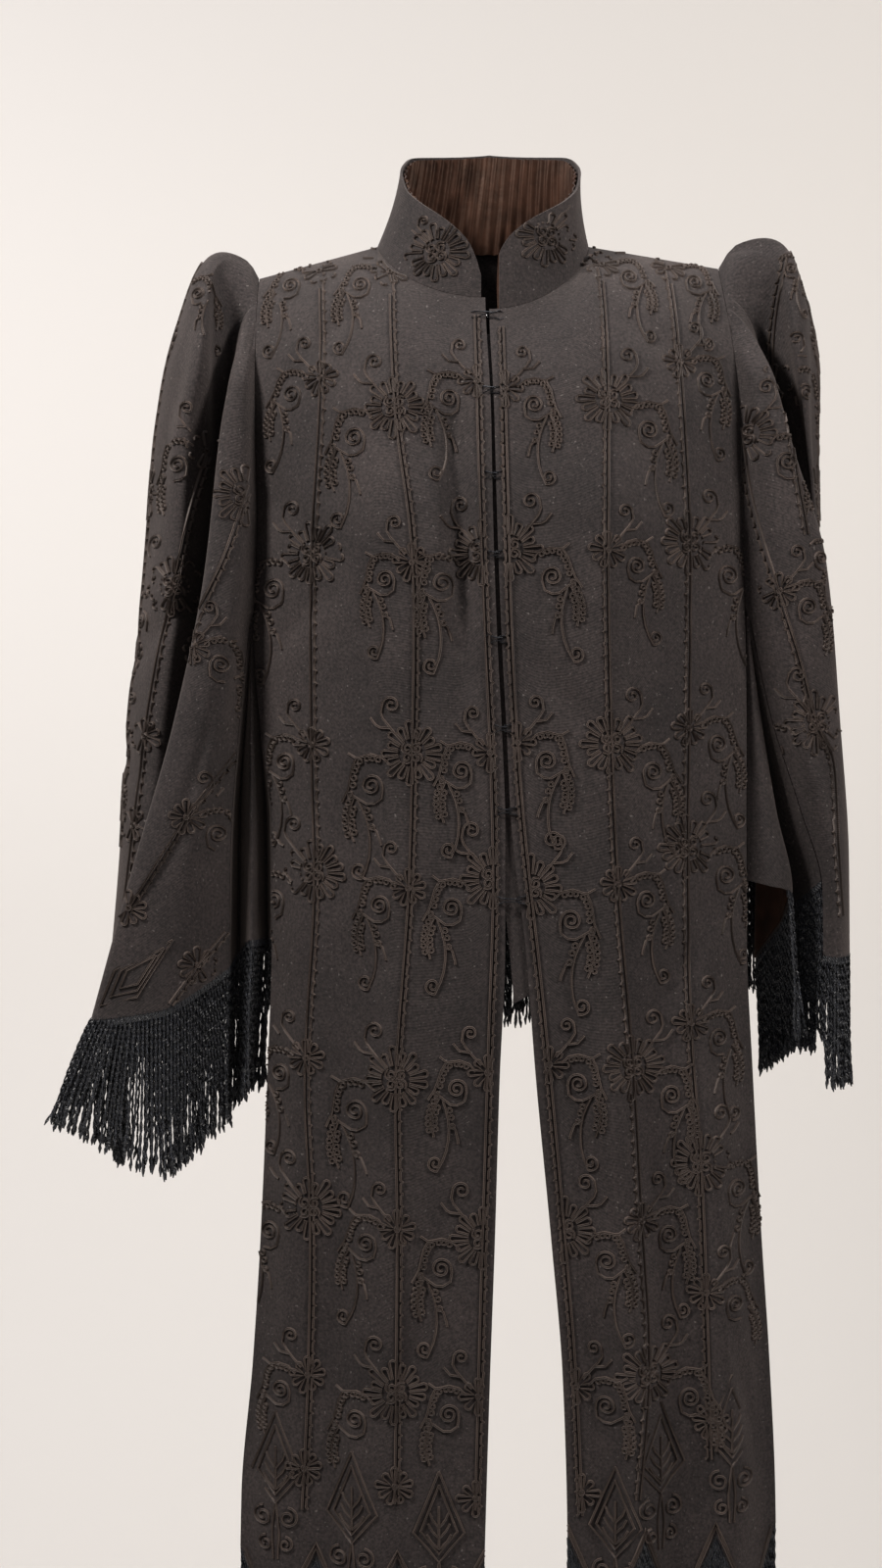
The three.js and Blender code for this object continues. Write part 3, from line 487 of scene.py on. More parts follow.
def creased(grid, facing, span, rows):
    """Presses soft troughs into the cloth, each from one (share across, level) to another."""
    normals = normals_of(grid, facing)
    shares = np.linspace(0, 1, grid.shape[1])[None, :]
    place = np.stack([shares * span + 0 * grid[..., 2], grid[..., 2]], axis=-1)
    sunk = np.zeros(grid.shape[:2])
    for row in rows:
        start, end = (np.array([row[key][0] * span, row[key][1]]) for key in ("from", "to"))
        along = np.clip((place - start) @ (end - start) / ((end - start) @ (end - start)), 0, 1)
        off = np.linalg.norm(place - start - along[..., None] * (end - start), axis=-1)
        faded = np.sin(np.pi * mix(0.05, 0.95, along)) ** CREASE_EASE["fade"]
        sunk += row["depth"] * np.exp(-((off / row["width"]) ** 2)) * faded
    falls = np.linspace(0, 1, grid.shape[0])[:, None]
    sides = np.clip(CREASE_EASE["sides"] * np.minimum(shares, 1 - shares), 0, 1)
    ends = np.clip(CREASE_EASE["ends"] * np.minimum(falls, 1 - falls), 0, 1)
    return grid - normals * (sunk * (sides * ends))[..., None]


def mitred(share):
    """Turns the wall's edge upright along the shoulder, so that front and back meet face to face."""

    def turn(normals):
        columns = normals.shape[1]
        on_shoulder = share(np.linspace(0, 1, columns))
        normals[0, on_shoulder, 1] = 0
        return unit(normals)

    return turn


def cloth_piece(node, grid, facing, edge_normals=None, thickness=CLOTH):
    """A wall of broadcloth that stands for the solid of the same name."""
    piece = wall(f"cloth_{node}", grid, thickness, facing, wool, edge_normals)
    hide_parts(node)
    return piece


CREASE_SPANS = {"front": 200, "back": 350, "sleeve": 520}
FRONT_CREASES = {
    -1: table(
        "from to depth width",
        ((0.97, -135), (0.52, -52), 2.2, 10),
        ((1.0, -185), (0.6, -250), 2.6, 11),
        ((0.98, -330), (0.62, -272), 2.0, 9),
        ((0.15, -120), (0.1, -345), 8.5, 10),
        ((0.2, -300), (0.36, -400), 2.4, 12),
        ((0.3, -90), (0.24, -230), 2.6, 10),
        ((0.12, -470), (0.5, -560), 2.0, 14),
        ((0.86, -560), (0.6, -700), 2.4, 13),
        ((0.2, -720), (0.34, -905), 2.2, 12),
    ),
    1: table(
        "from to depth width",
        ((0.95, -120), (0.5, -60), 2.2, 11),
        ((0.42, -105), (0.66, -210), 2.8, 12),
        ((1.0, -230), (0.62, -300), 2.2, 10),
        ((0.08, -330), (0.42, -400), 2.2, 12),
        ((0.9, -470), (0.55, -590), 2.6, 13),
        ((0.15, -640), (0.3, -800), 2.2, 12),
        ((0.72, -790), (0.9, -930), 2.0, 11),
    ),
}
front_grids, front_walls = {}, {}
for side, cut in SIDES.items():
    grid = grid_of(lambda across, down: front_panel(side, across, down), *FRONT_GRID)
    front_grids[side] = creased(grid, -side, CREASE_SPANS["front"], FRONT_CREASES[side])
    on_shoulder = mitred(lambda share: share > NECK_SHARE)
    front_walls[side] = cloth_piece(f"front_{cut['name']}", front_grids[side], -side, on_shoulder)


# ----------------------------------------------------------
# Back. It is one plain piece in the same broadcloth, cut to the hip, seamed to the fronts on the
# shoulders and to the sleeves at the sides, and hollowed a little at the waist.
BACK = table(
    "z left right side_y blade hollow",
    (-150, -172, 180, 78, 16, 3),
    (-260, -168, 175, 84, 12, 6),
    (-400, -166, 172, 86, 2, 9),
    (-520, -167, 173, 90, 12, 3),
)
BACK_YOKE_SHARE = 0.4
BACK_NECK_SHARE = 0.5
BACK_HEM = {"side": -492, "centre": -516}
BLADE_ROUND = 0.8
REARWARD = {"neck": 0.45, "shoulder": 0.85, "arrive": 0.9}
BACK_GRID = (72, 76)


def back_section(share, z):
    """A point of the hanging back, from the wearer's right to the left."""
    arch = np.sin(np.pi * share)
    y = read(BACK, "side_y", z) + read(BACK, "blade", z) * np.maximum(arch, 0) ** BLADE_ROUND
    y = y - read(BACK, "hollow", z) * bump((share - 0.5) / 0.5)
    return vec(mix(read(BACK, "left", z), read(BACK, "right", z), share), y, z)


def back_panel(share, down):
    """The whole back, from the neckline and shoulders to the hem."""
    share, down = np.broadcast_arrays(np.asarray(share, float), np.asarray(down, float))
    out = np.abs(2 * share - 1)
    hem = mix(BACK_HEM["centre"], BACK_HEM["side"], out**2)
    fall = np.clip((down - BACK_YOKE_SHARE) / (1 - BACK_YOKE_SHARE), 0, 1)
    low = back_section(share, mix(CHEST, hem, fall))
    chest = back_section(share, np.full(share.shape, CHEST))
    turn = 1 - 0.5 * np.minimum(out / BACK_NECK_SHARE, 1)
    past = np.clip((out - BACK_NECK_SHARE) / (1 - BACK_NECK_SHARE), 0, 1)[..., None]
    tops = {}
    for side, cut in SIDES.items():
        shoulder = mix(neckline(side, 0.5), np.array(cut["shoulder"], float), past)
        tops[side] = np.where(past > 0, shoulder, neckline(side, turn))
    top = np.where((share < 0.5)[..., None], tops[-1], tops[1]) + np.array([0, SEAM, 0])
    reach = np.linalg.norm(top - chest, axis=-1)[..., None]
    rear = mix(REARWARD["neck"], REARWARD["shoulder"], smooth(out, 0, BACK_NECK_SHARE))
    leave = vec(0, rear, -np.sqrt(1 - rear**2)) * reach
    arrive = np.array([0, 0, -1]) * reach * REARWARD["arrive"]
    yoke = hermite(top, leave, chest, arrive, np.clip(down / BACK_YOKE_SHARE, 0, 1)[..., None])
    return np.where((down >= BACK_YOKE_SHARE)[..., None], low, yoke)


BACK_CREASES = table(
    "from to depth width",
    ((0.08, -190), (0.34, -120), 2.4, 12),
    ((0.93, -200), (0.7, -125), 2.2, 13),
    ((0.05, -330), (0.36, -392), 3.0, 13),
    ((0.96, -350), (0.6, -402), 2.6, 11),
    ((0.3, -300), (0.24, -480), 2.2, 16),
    ((0.66, -290), (0.73, -480), 2.4, 15),
)
back_grid = creased(grid_of(back_panel, *BACK_GRID), 1, CREASE_SPANS["back"], BACK_CREASES)
cloth_piece("back", back_grid, 1, mitred(lambda share: np.abs(2 * share - 1) > BACK_NECK_SHARE))


# ----------------------------------------------------------
# Cape sleeves. Each is one piece of broadcloth, gathered into a high head on the shoulder, that
# falls over the arm; a loose flap stands forward, with a deep fold behind it.
SLEEVES = {
    -1: table(
        "z flap edge valley swell arm rear",
        (-116, (-185, -72), (-195, -72), (-200, -20), (-222, -70), (-257, 0), (-228, 66)),
        (-150, (-185, -78), (-200, -80), (-201, -16), (-229, -64), (-262, 0), (-236, 66)),
        (-260, (-190, -88), (-211, -90), (-211, -18), (-236, -58), (-271, 2), (-244, 68)),
        (-370, (-207, -96), (-233, -97), (-227, -28), (-250, -48), (-284, 6), (-256, 70)),
        (-480, (-226, -101), (-264, -99), (-252, -38), (-268, -34), (-291, 10), (-262, 72)),
        (-600, (-244, -101), (-298, -92), (-283, -44), (-294, -16), (-302, 20), (-268, 74)),
    ),
    1: table(
        "z flap edge valley swell arm rear",
        (-113, (208, -68), (222, -68), (229, -12), (245, -48), (268, 4), (240, 66)),
        (-150, (213, -76), (230, -76), (237, -12), (251, -38), (267, 5), (242, 66)),
        (-250, (228, -84), (261, -68), (257, -10), (267, -6), (270, 22), (246, 68)),
        (-370, (241, -80), (274, -55), (271, -6), (278, 0), (281, 26), (254, 70)),
        (-480, (267, -70), (283, -46), (280, -8), (286, 4), (288, 30), (260, 72)),
        (-560, (270, -68), (284, -44), (281, -8), (288, 5), (290, 31), (262, 72)),
    ),
}
FRONT_SEAMS = {
    -1: table(
        "z at",
        (-300, (-181, -62)),
        (-370, (-188, -66)),
        (-480, (-195, -69)),
        (-600, (-196, -69)),
    ),
    1: table(
        "z at",
        (-300, (205.5, -62)),
        (-370, (221, -62)),
        (-440, (243, -63)),
        (-500, (260, -60)),
        (-600, (261, -60)),
    ),
}
GUSSET_TOP = -300
SLEEVE_HEMS = {
    -1: [-561, -590, -598, -592, -578, -556, -522, -494],
    1: [-552, -553, -553, -532, -516, -502, -492, -492],
}
HEADS = table(
    "side level rise spread sink stand pleats pleat_depth",
    (-1, -116, 120, 150, 190, 8, 7, 6.5),
    (1, -113, 120, 200, 190, 11, 9, 8),
)
HEADS = {row["side"]: row for row in HEADS}
STATIONS = ("flap", "edge", "valley", "swell", "arm", "rear")
ARMHOLE_Z = -66
HEAD_MIDDLE = 0.6
FOLD_SHARE = 3 / 7
FOLD_TURN = 0.16
HEAD_SHARE = 1 / 3
HEAD_LEAVE = (-50, 50)
HEAD_LIFT = {"front": 1.6, "back": 0.7}
GATHER = {"from": 0.12, "gain": 1.3, "start": 20, "sharpness": 0.7, "roll": 16}
ARMHOLE_ROUND = 1.2
GATHER_UP = (0.6, 0.8)
SEAM_EASE = 0.12
SEAM_BLEND = 16
SLEEVE_GRID = (126, 100)


def column_at(grid_column, z):
    """The point of a hanging column of points at a level."""
    rising = grid_column[::-1]
    return np.stack([np.interp(z, rising[:, 2], rising[:, k]) for k in range(3)], axis=-1)


def front_side(side, z):
    """The seam of a sleeve on the front."""
    return column_at(front_grids[side][:, -1], z) + np.array([side * SEAM, 0, 0])


def back_side(side, z):
    """The seam of a sleeve on the back."""
    return column_at(back_grid[:, 0 if side < 0 else -1], z) + np.array([side * 2 * SEAM, 0, 0])


def stations_at(rows, names, z):
    """The points at the named stations of a table of sections, at level z."""
    return [vec(*np.moveaxis(read(rows, name, z), -1, 0), z) for name in names]


def front_seam(side, z):
    """The sleeve's front edge: on the panel's side above the gusset, and free below."""
    (free,) = stations_at(FRONT_SEAMS[side], ("at",), z)
    share = smooth(GUSSET_TOP + SEAM_BLEND - np.asarray(z), 0, SEAM_BLEND)[..., None]
    return np.where((np.asarray(z) <= GUSSET_TOP)[..., None], free, mix(front_side(side, z), free, share))


def line_through(points, across):
    """A smooth line through stations, [..., station, axis], with an even share for each span."""
    spans = points.shape[-2] - 1
    first = 2 * points[..., :1, :] - points[..., 1:2, :]
    last = 2 * points[..., -1:, :] - points[..., -2:-1, :]
    line = np.concatenate([first, points, last], axis=-2)
    place = np.clip(across, 0, 1) * spans
    i = np.clip(np.floor(place).astype(int), 0, spans - 1)
    t = (place - i)[..., None]
    p = [np.take_along_axis(line, (i + k)[..., None, None], axis=-2)[..., 0, :] for k in range(4)]
    gaps = [np.linalg.norm(p[k + 1] - p[k], axis=-1, keepdims=True) for k in range(3)]
    d = [np.maximum(gap**0.5, 1e-4) for gap in gaps]
    leave = ((p[1] - p[0]) / d[0] - (p[2] - p[0]) / (d[0] + d[1]) + (p[2] - p[1]) / d[1]) * d[1]
    arrive = ((p[2] - p[1]) / d[1] - (p[3] - p[1]) / (d[1] + d[2]) + (p[3] - p[2]) / d[2]) * d[1]
    return hermite(p[1], leave, p[2], arrive, t)


def sleeve_section(side, across, z):
    """A point of the hanging sleeve at a level."""
    between = stations_at(SLEEVES[side], STATIONS, z)
    stations = np.stack([front_seam(side, z), *between, back_side(side, z)], axis=-2)
    point = line_through(stations, across)
    point[..., 2] = z
    return point


def levels_through(levels, across):
    """A hem's level, smooth through the levels at its stations."""
    points = np.zeros((len(levels), 3))
    points[:, 0] = levels
    across = np.asarray(across, float)
    return line_through(np.broadcast_to(points, across.shape + points.shape), across)[..., 0]


def sleeve_hem(side, across):
    """The sleeve's hem level."""
    return levels_through(SLEEVE_HEMS[side], across)


def head_turn(across):
    """0 at the front seam, 0.5 at the shoulder and 1 at the back seam."""
    return np.interp(across, [0, FOLD_SHARE, HEAD_MIDDLE, 1], [0, FOLD_TURN, 0.5, 1])


def armhole(side, across):
    """The armhole, from the front seam over the shoulder to the back seam."""
    climb = 1 - np.abs(2 * head_turn(across) - 1)
    z = mix(ARMHOLE_Z, SIDES[side]["shoulder"][2], np.sin(climb * np.pi / 2) ** ARMHOLE_ROUND)
    return np.where((across < HEAD_MIDDLE)[..., None], front_side(side, z), back_side(side, z))


def head_point(side, across, t):
    """A point of the gathered head, before it is eased onto the seams."""
    head = HEADS[side]
    start = armhole(side, across)
    level = np.full(across.shape, float(head["level"]))
    end = sleeve_section(side, across, level)
    crown = np.sin(np.pi * head_turn(across))
    lift = np.maximum(crown, 0) ** np.where(across < HEAD_MIDDLE, HEAD_LIFT["front"], HEAD_LIFT["back"])
    leave = vec(side * head["spread"] * crown * lift**0.5, 0, mix(HEAD_LEAVE[0], head["rise"], lift))
    sink = mix(HEAD_LEAVE[1], head["sink"], lift)[..., None]
    arrive = unit(sleeve_section(side, across, level - 1) - end) * sink
    point = hermite(start, leave, end, arrive, t[..., None])
    gather = head["pleat_depth"] * crown * np.sin(np.pi * np.minimum(1, GATHER["gain"] * t + GATHER["from"]))
    ridge = (0.5 - 0.5 * np.cos(2 * np.pi * head["pleats"] * across)) ** GATHER["sharpness"]
    pleat = np.minimum(1, GATHER["start"] * t) * ridge
    roll = head["stand"] * crown**2 * np.sqrt(np.clip(GATHER["roll"] * t, 0, 1)) * (1 - t) ** 2
    lifted = np.array([side * GATHER_UP[0], 0, GATHER_UP[1]]) * (gather * pleat)[..., None]
    return point + lifted + vec(0 * t, 0 * t, roll)


def sleeve(side, across, down):
    """The whole sleeve, from the armhole to the hem."""
    across, down = np.broadcast_arrays(np.asarray(across, float), np.asarray(down, float))
    level = HEADS[side]["level"]
    fall = np.clip((down - HEAD_SHARE) / (1 - HEAD_SHARE), 0, 1)
    low = sleeve_section(side, across, mix(level, sleeve_hem(side, across), fall))
    t = np.clip(down / HEAD_SHARE, 0, 1)
    high = head_point(side, across, t)
    for border, seam, share in (
        (0.0, front_seam, 1 - smooth(across, 0, SEAM_EASE)),
        (1.0, back_side, smooth(across, 1 - SEAM_EASE, 1)),
    ):
        off = seam(side, mix(ARMHOLE_Z, level, t)) - head_point(side, np.full(across.shape, border), t)
        high = high + off * share[..., None]
    return np.where((down >= HEAD_SHARE)[..., None], low, high)


SLEEVE_CREASES = {
    -1: table(
        "from to depth width",
        ((0.52, -40), (0.46, -190), 3.0, 12),
        ((0.62, -60), (0.66, -220), 3.4, 14),
        ((0.5, -270), (0.74, -330), 3.2, 13),
        ((0.88, -240), (0.7, -300), 2.6, 12),
        ((0.56, -420), (0.8, -380), 2.6, 12),
        ((0.12, -330), (0.2, -500), 2.4, 13),
    ),
    1: table(
        "from to depth width",
        ((0.5, -36), (0.56, -210), 3.2, 13),
        ((0.66, -60), (0.63, -200), 3.0, 13),
        ((0.5, -300), (0.72, -250), 3.0, 12),
        ((0.9, -260), (0.72, -330), 2.4, 12),
        ((0.6, -430), (0.82, -400), 2.6, 13),
        ((0.14, -260), (0.19, -430), 2.2, 12),
    ),
}
sleeve_grids, sleeve_walls = {}, {}
for side, cut in SIDES.items():
    grid = grid_of(lambda across, down: sleeve(side, across, down), *SLEEVE_GRID)
    sleeve_grids[side] = creased(grid, -side, CREASE_SPANS["sleeve"], SLEEVE_CREASES[side])
    sleeve_walls[side] = cloth_piece(f"sleeve_{cut['name']}", sleeve_grids[side], -side)


# ----------------------------------------------------------
# Gussets. A plain piece of broadcloth between each front and its sleeve, let in from the elbow
# down, falls in knife folds.
GUSSETS = {
    -1: table(
        "z dip crest inner",
        (-303, (-178.3, -58.5), (-178.9, -58.8), (-179.5, -58.6)),
        (-370, (-174, -52), (-179.5, -64), (-184.5, -50)),
        (-440, (-170, -44), (-178.5, -70), (-190, -40)),
        (-560, (-168, -46), (-177.5, -77), (-191, -44)),
    ),
    1: table(
        "z dip crest inner",
        (-303, (202.6, -60.6), (203.4, -60.6), (204.2, -60)),
        (-370, (207, -65), (213, -59), (211.5, -45)),
        (-440, (213, -69), (224.5, -60), (218, -30)),
        (-500, (218, -73), (237, -60), (218, -14)),
        (-570, (218, -73), (238, -60), (217, -10)),
    ),
}
GUSSET_HEMS = {
    -1: [-539, -540, -539, -552, -560],
    1: [-494, -496, -498, -500, -505, -540, -562, -520, -494],
}
GUSSET_STARTS = {-1: (-0.6, 2.2, 0), 1: (0.6, 0.2, 0)}
GUSSET_ENDS = {-1: (0.2, 2.2, 0), 1: (-0.4, 1.8, 0)}
GUSSET_LAP = 9
GUSSET_GRID = (60, 50)


def gusset(side, across, down):
    """The gusset, from its point at the top to its hem."""
    across, down = np.broadcast_arrays(np.asarray(across, float), np.asarray(down, float))
    z = mix(GUSSET_TOP + GUSSET_LAP, levels_through(GUSSET_HEMS[side], across), down)
    between = stations_at(GUSSETS[side], ("dip", "crest", "inner"), z)
    start = column_at(front_grids[side][:, -1], z) + np.array(GUSSET_STARTS[side])
    end = front_seam(side, z) + np.array(GUSSET_ENDS[side])
    point = line_through(np.stack([start, *between, end], axis=-2), across)
    point[..., 2] = z
    return point


gusset_grids = {}
for side, cut in SIDES.items():
    gusset_grids[side] = grid_of(lambda across, down: gusset(side, across, down), *GUSSET_GRID)
    cloth_piece(f"gusset_{cut['name']}", gusset_grids[side], -side)


# ----------------------------------------------------------
# Collar. A tall stand of stiffened broadcloth on the neckline, highest at the back, that sweeps
# down to round corners at the front.
RIM = table(
    "turn level lean",
    (0, -40, 0),
    (0.035, -10, 0),
    (0.07, 3, 1),
    (0.14, 17, 3),
    (0.27, 34, 8),
    (0.36, 46, 10),
    (0.46, 62, 12),
    (0.56, 75, 12),
    (0.68, 86, 10),
    (1, 95, 5),
)
COLLAR_TILT = 6
COLLAR_ROUND = 1.7
TILT_SPREAD = 0.3
COLLAR_GRID = (160, 24)


def collar_point(around, up, inset=0.0):
    """The collar's outside, around from the right front edge by the back to the left front edge."""
    around, up = np.broadcast_arrays(np.asarray(around, float), np.asarray(up, float))
    turn = 1 - np.abs(2 * around - 1)
    halves = {s: np.maximum(turn, SIDES[s]["collar_start"]) for s in (-1, 1)}
    right = (around < 0.5)[..., None]
    base = np.where(right, neckline(-1, halves[-1]), neckline(1, halves[1])) + np.array([0, 0, SEAM])
    turn = np.where(right[..., 0], halves[-1], halves[1])
    rim, lean = read(RIM, "level", turn, "turn"), read(RIM, "lean", turn, "turn")
    inward = unit(vec(-base[..., 0], NECK["middle_y"] - base[..., 1], 0))
    settled = 1 - (1 - up) ** COLLAR_ROUND
    point = base + inward * (lean * settled + inset)[..., None]
    point[..., 0] += COLLAR_TILT * up * smooth(turn, 0, TILT_SPREAD)
    point[..., 2] = mix(base[..., 2], rim, up)
    return point


collar_grid = grid_of(lambda around, down: collar_point(around, 1 - down), *COLLAR_GRID)
collar_wall = cloth_piece("collar", collar_grid, 1)


# ----------------------------------------------------------
# Collar lining. Brown satin, gathered by rows of running stitches into fine upright folds and
# felled inside the stand.
LINING = {"thickness": 1.2, "gathers": 26, "depth": 2.4, "gap": 0.9}
DRIFT = {"size": 0.35, "waves": 9, "lean": 0.3}
UNEVEN = {"size": 0.25, "gathers": 3.3}
LINING_EDGES = {"margin": 0.014, "hem_up": 0.97, "base_up": -0.03}
LINING_GRID = (468, 12)
SATIN_DARK = (0.0095, 0.0045, 0.0032)
SATIN_LIGHT = (0.036, 0.0165, 0.0108)

satin, tree, shader, place = new_material("lining_satin")
crush = texture(tree, "Noise", place, Scale=60, Detail=5, Roughness=0.6)
threads = texture(tree, "Noise", place, Scale=1200, Detail=2)
finish(
    tree,
    shader,
    ramp(tree, crush, SATIN_DARK, SATIN_LIGHT, 0.3, 0.72),
    [(crush, 0.5, 0.0012), (threads, 0.2, 0.0002)],
    Roughness=0.46,
    Specular_IOR_Level=0.12,
    Specular_Tint=(1.0, 0.68, 0.52, 1),
)


def lining_point(around, down):
    """The face of the gathered lining."""
    gathers = LINING["gathers"] * 2
    drift = DRIFT["size"] * np.sin(DRIFT["waves"] * around) + DRIFT["lean"] * down
    wave = LINING["depth"] * (0.5 - 0.5 * np.cos(2 * np.pi * (gathers * around + drift)))
    uneven = np.sin(2 * np.pi * (gathers / UNEVEN["gathers"] * around + down))
    wave = wave * (1 - UNEVEN["size"] + UNEVEN["size"] * uneven)
    inset = CLOTH + LINING["gap"] + LINING["thickness"] + wave
    around = mix(LINING_EDGES["margin"], 1 - LINING_EDGES["margin"], around)
    return collar_point(around, mix(LINING_EDGES["hem_up"], LINING_EDGES["base_up"], down), inset)


lining_grid = grid_of(lining_point, *LINING_GRID)
lining = wall("lining_collar", lining_grid, LINING["thickness"], -1, satin)
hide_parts("collar_lining")

# The same satin faces the inside of the left gusset's deep fold, where it turns out at the hem.
FACING = {"across": (0.46, 0.86), "down": (0.62, 0.985), "gap": 0.5, "thickness": 0.6}
RIPPLE = {"depth": 0.7, "run": 34}
FACING_GRID = (48, 40)


def facing_point(across, down):
    """The gusset's face where the satin lies behind it."""
    return gusset(1, mix(*FACING["across"], across), mix(*FACING["down"], down))


facing_grid = grid_of(facing_point, *FACING_GRID)
waves = np.sin(np.linspace(0, RIPPLE["run"], FACING_GRID[0] + 1))
ripple = RIPPLE["depth"] * (1 + waves)[None, :, None]
behind = CLOTH + FACING["gap"] + FACING["thickness"] + ripple
facing_grid = facing_grid - normals_of(facing_grid, -1) * behind
wall("lining_gusset_left", facing_grid, FACING["thickness"], 1, satin)


# ----------------------------------------------------------
# Fly guard. A strip of the same wool sewn behind the left front's edge and reaching under the
# right front, cut off on a slant at the end.
GUARD = {"reach": -12, "root": 9, "top": -76, "ends": (-583, -572), "thickness": 1.4, "gap": 0.7}
GUARD_GRID = (10, 120)


def guard_point(across, down):
    """The strip's face, which follows the left front's edge."""
    z = mix(GUARD["top"], mix(*GUARD["ends"], across), down)
    edge = front_grids[1][:, 0]
    run = unit((column_at(edge, z - 4) - column_at(edge, z + 4)) * np.array([0, 1, 1]))
    behind = vec(0, -run[..., 2], run[..., 1]) * (CLOTH + GUARD["gap"])
    return column_at(edge, z) + behind + vec(mix(GUARD["reach"], GUARD["root"], across), 0, 0)


cloth_piece("fly_guard", grid_of(guard_point, *GUARD_GRID), -1, thickness=GUARD["thickness"])


# ----------------------------------------------------------
# Corded flowers. Fine brown-black soutache braid is couched over the fronts, collar and sleeves in
# upright stems with picots, large and small looped flowers, and sprays of scrolls and berries.
CORD = {"half_width": 0.9, "height": 1.45, "sunk": 0.3}
CORD_SECTION = ((-1, -0.3), (-0.62, 0.85), (0, 0.4), (0.62, 0.85), (1, -0.3))
BRAID_DARK = (0.030, 0.0225, 0.0196)
BRAID_LIGHT = (0.062, 0.0460, 0.0396)
HALF_PETALS = 0.56
PETAL_TIP = (-1.3, -0.65, 0, 0.65, 1.3)
HEART = {"out": 5.0, "radius": 4.4, "turns": 1.5, "inner": 0.25}
LARGE_FLOWER = {"outer": 24, "inner": 10.5, "petals": 17, "width": 5.0, "short": 0.84}
SMALL_FLOWER = {"outer": 14, "inner": 3.4, "petals": 9, "width": 4.8, "short": 0.9}
PETAL = {"foot": 0.5, "belly": 0.85, "belly_at": 0.55, "sizes": (0.92, 1.06)}
EYELET = {"radius": 1.9, "count": 6}
BERRY = {"radius": 1.8, "clear": 0.9, "count": 7}
SCROLL_STEPS = (14, 4)
SCROLL_TIGHTEN = 0.9
PICOT = {"every": 9.0, "out": 1.9, "wide": 1.2, "apart": 2.9}
CORD_SIDE = 0.8
MOST_DEPTH_STEP = 7.0
FAR_M = 3.0

braid, tree, shader, place = new_material("soutache_braid")
ribs = texture(tree, "Wave", along_cloth(tree), Scale=420, Distortion=0.6, bands_direction="DIAGONAL")
worn = texture(tree, "Noise", place, Scale=32, Detail=3)
finish(
    tree,
    shader,
    ramp(tree, worn, BRAID_DARK, BRAID_LIGHT, 0.3, 0.75),
    [(ribs, 0.5, 0.0003)],
    Roughness=0.58,
    Specular_IOR_Level=0.28,
    Sheen_Weight=0.12,
    Sheen_Tint=(0.8, 0.6, 0.5, 1),
)


def curve_through(points, step=1.5):
    """A smooth line through a few points, sampled about every step."""
    points = np.asarray(points, float)
    length = np.linalg.norm(np.diff(points, axis=0), axis=1).sum()
    across = np.linspace(0, 1, max(int(length / step), 3) + 1)
    flat = np.concatenate([points, np.zeros((len(points), 1))], axis=1)
    return line_through(np.broadcast_to(flat, (len(across), *flat.shape)), across)[:, :2]


def ring(centre, radius, count):
    """A small closed ring of braid."""
    angles = np.linspace(0, 2 * np.pi, count + 1)
    return np.array(centre) + radius * np.stack([np.cos(angles), np.sin(angles)], axis=-1)


def scroll(centre, radius, start, turns, spin=1, inner=0.2):
    """A spiral that winds in from its rim, at an angle, to its eye."""
    t = np.linspace(0, 1, int(SCROLL_STEPS[0] * turns) + SCROLL_STEPS[1])
    angles = start + spin * 2 * np.pi * turns * t
    reach = radius * mix(1, inner, t**SCROLL_TIGHTEN)
    return np.array(centre) + reach[:, None] * np.stack([np.cos(angles), np.sin(angles)], axis=-1)


def looped_flower(plan, towards, half, chance):
    """One line of braid that makes every petal of a flower, or of half of one, in turn."""
    petals = int(plan["petals"] * (HALF_PETALS if half else 1))
    first = towards - np.pi * 0.5 if half else towards
    step = np.pi / (petals - 1) if half else 2 * np.pi / petals
    line = []
    for k in range(petals):
        angle = first + step * k
        size = (1 if k % 2 == 0 else plan["short"]) * mix(*PETAL["sizes"], chance.random())
        reach, wide = plan["outer"] * size, plan["width"] / 2
        flank = [(plan["inner"], wide * PETAL["foot"])]
        flank += [(mix(plan["inner"], reach, PETAL["belly_at"]), wide * PETAL["belly"])]
        petal = [(x, -y) for x, y in flank]
        petal += [(reach - wide + wide * np.cos(b), wide * np.sin(b)) for b in PETAL_TIP]
        petal += flank[::-1]
        cos, sin = np.cos(angle), np.sin(angle)
        line += [(x * cos - y * sin, x * sin + y * cos) for x, y in petal]
    return np.array(line if half else line + line[:1])


def flower(centre, kind, out, chance):
    """A flower: large, small, or half of either, which opens towards out, -1 or 1 across."""
    centre, half = np.array(centre, float), kind.startswith("half")
    towards = (0 if out > 0 else np.pi) if half else 0.2
    if kind.endswith("large"):
        lines = [centre + looped_flower(LARGE_FLOWER, towards, half, chance)]
        for angle in [np.pi * quarter / 4 for quarter in (1, 3, 5, 7)]:
            if not half or np.cos(angle) * out > 0:
                heart = centre + HEART["out"] * np.array([np.cos(angle), np.sin(angle)])
                lines.append(scroll(heart, HEART["radius"], angle, HEART["turns"], 1, HEART["inner"]))
        return lines
    petals = centre + looped_flower(SMALL_FLOWER, towards, half, chance)
    return [petals, ring(centre, EYELET["radius"], EYELET["count"])]


def berries(line, shares, flip):
    """Small rings in a row against one side of a branch."""
    lines = []
    for share in shares:
        k = int(share * (len(line) - 2))
        run = unit(line[k + 1] - line[k])
        out = flip * np.array([-run[1], run[0]])
        centre = line[k] + out * (BERRY["radius"] + BERRY["clear"])
        lines.append(ring(centre, BERRY["radius"], BERRY["count"]))
    return lines


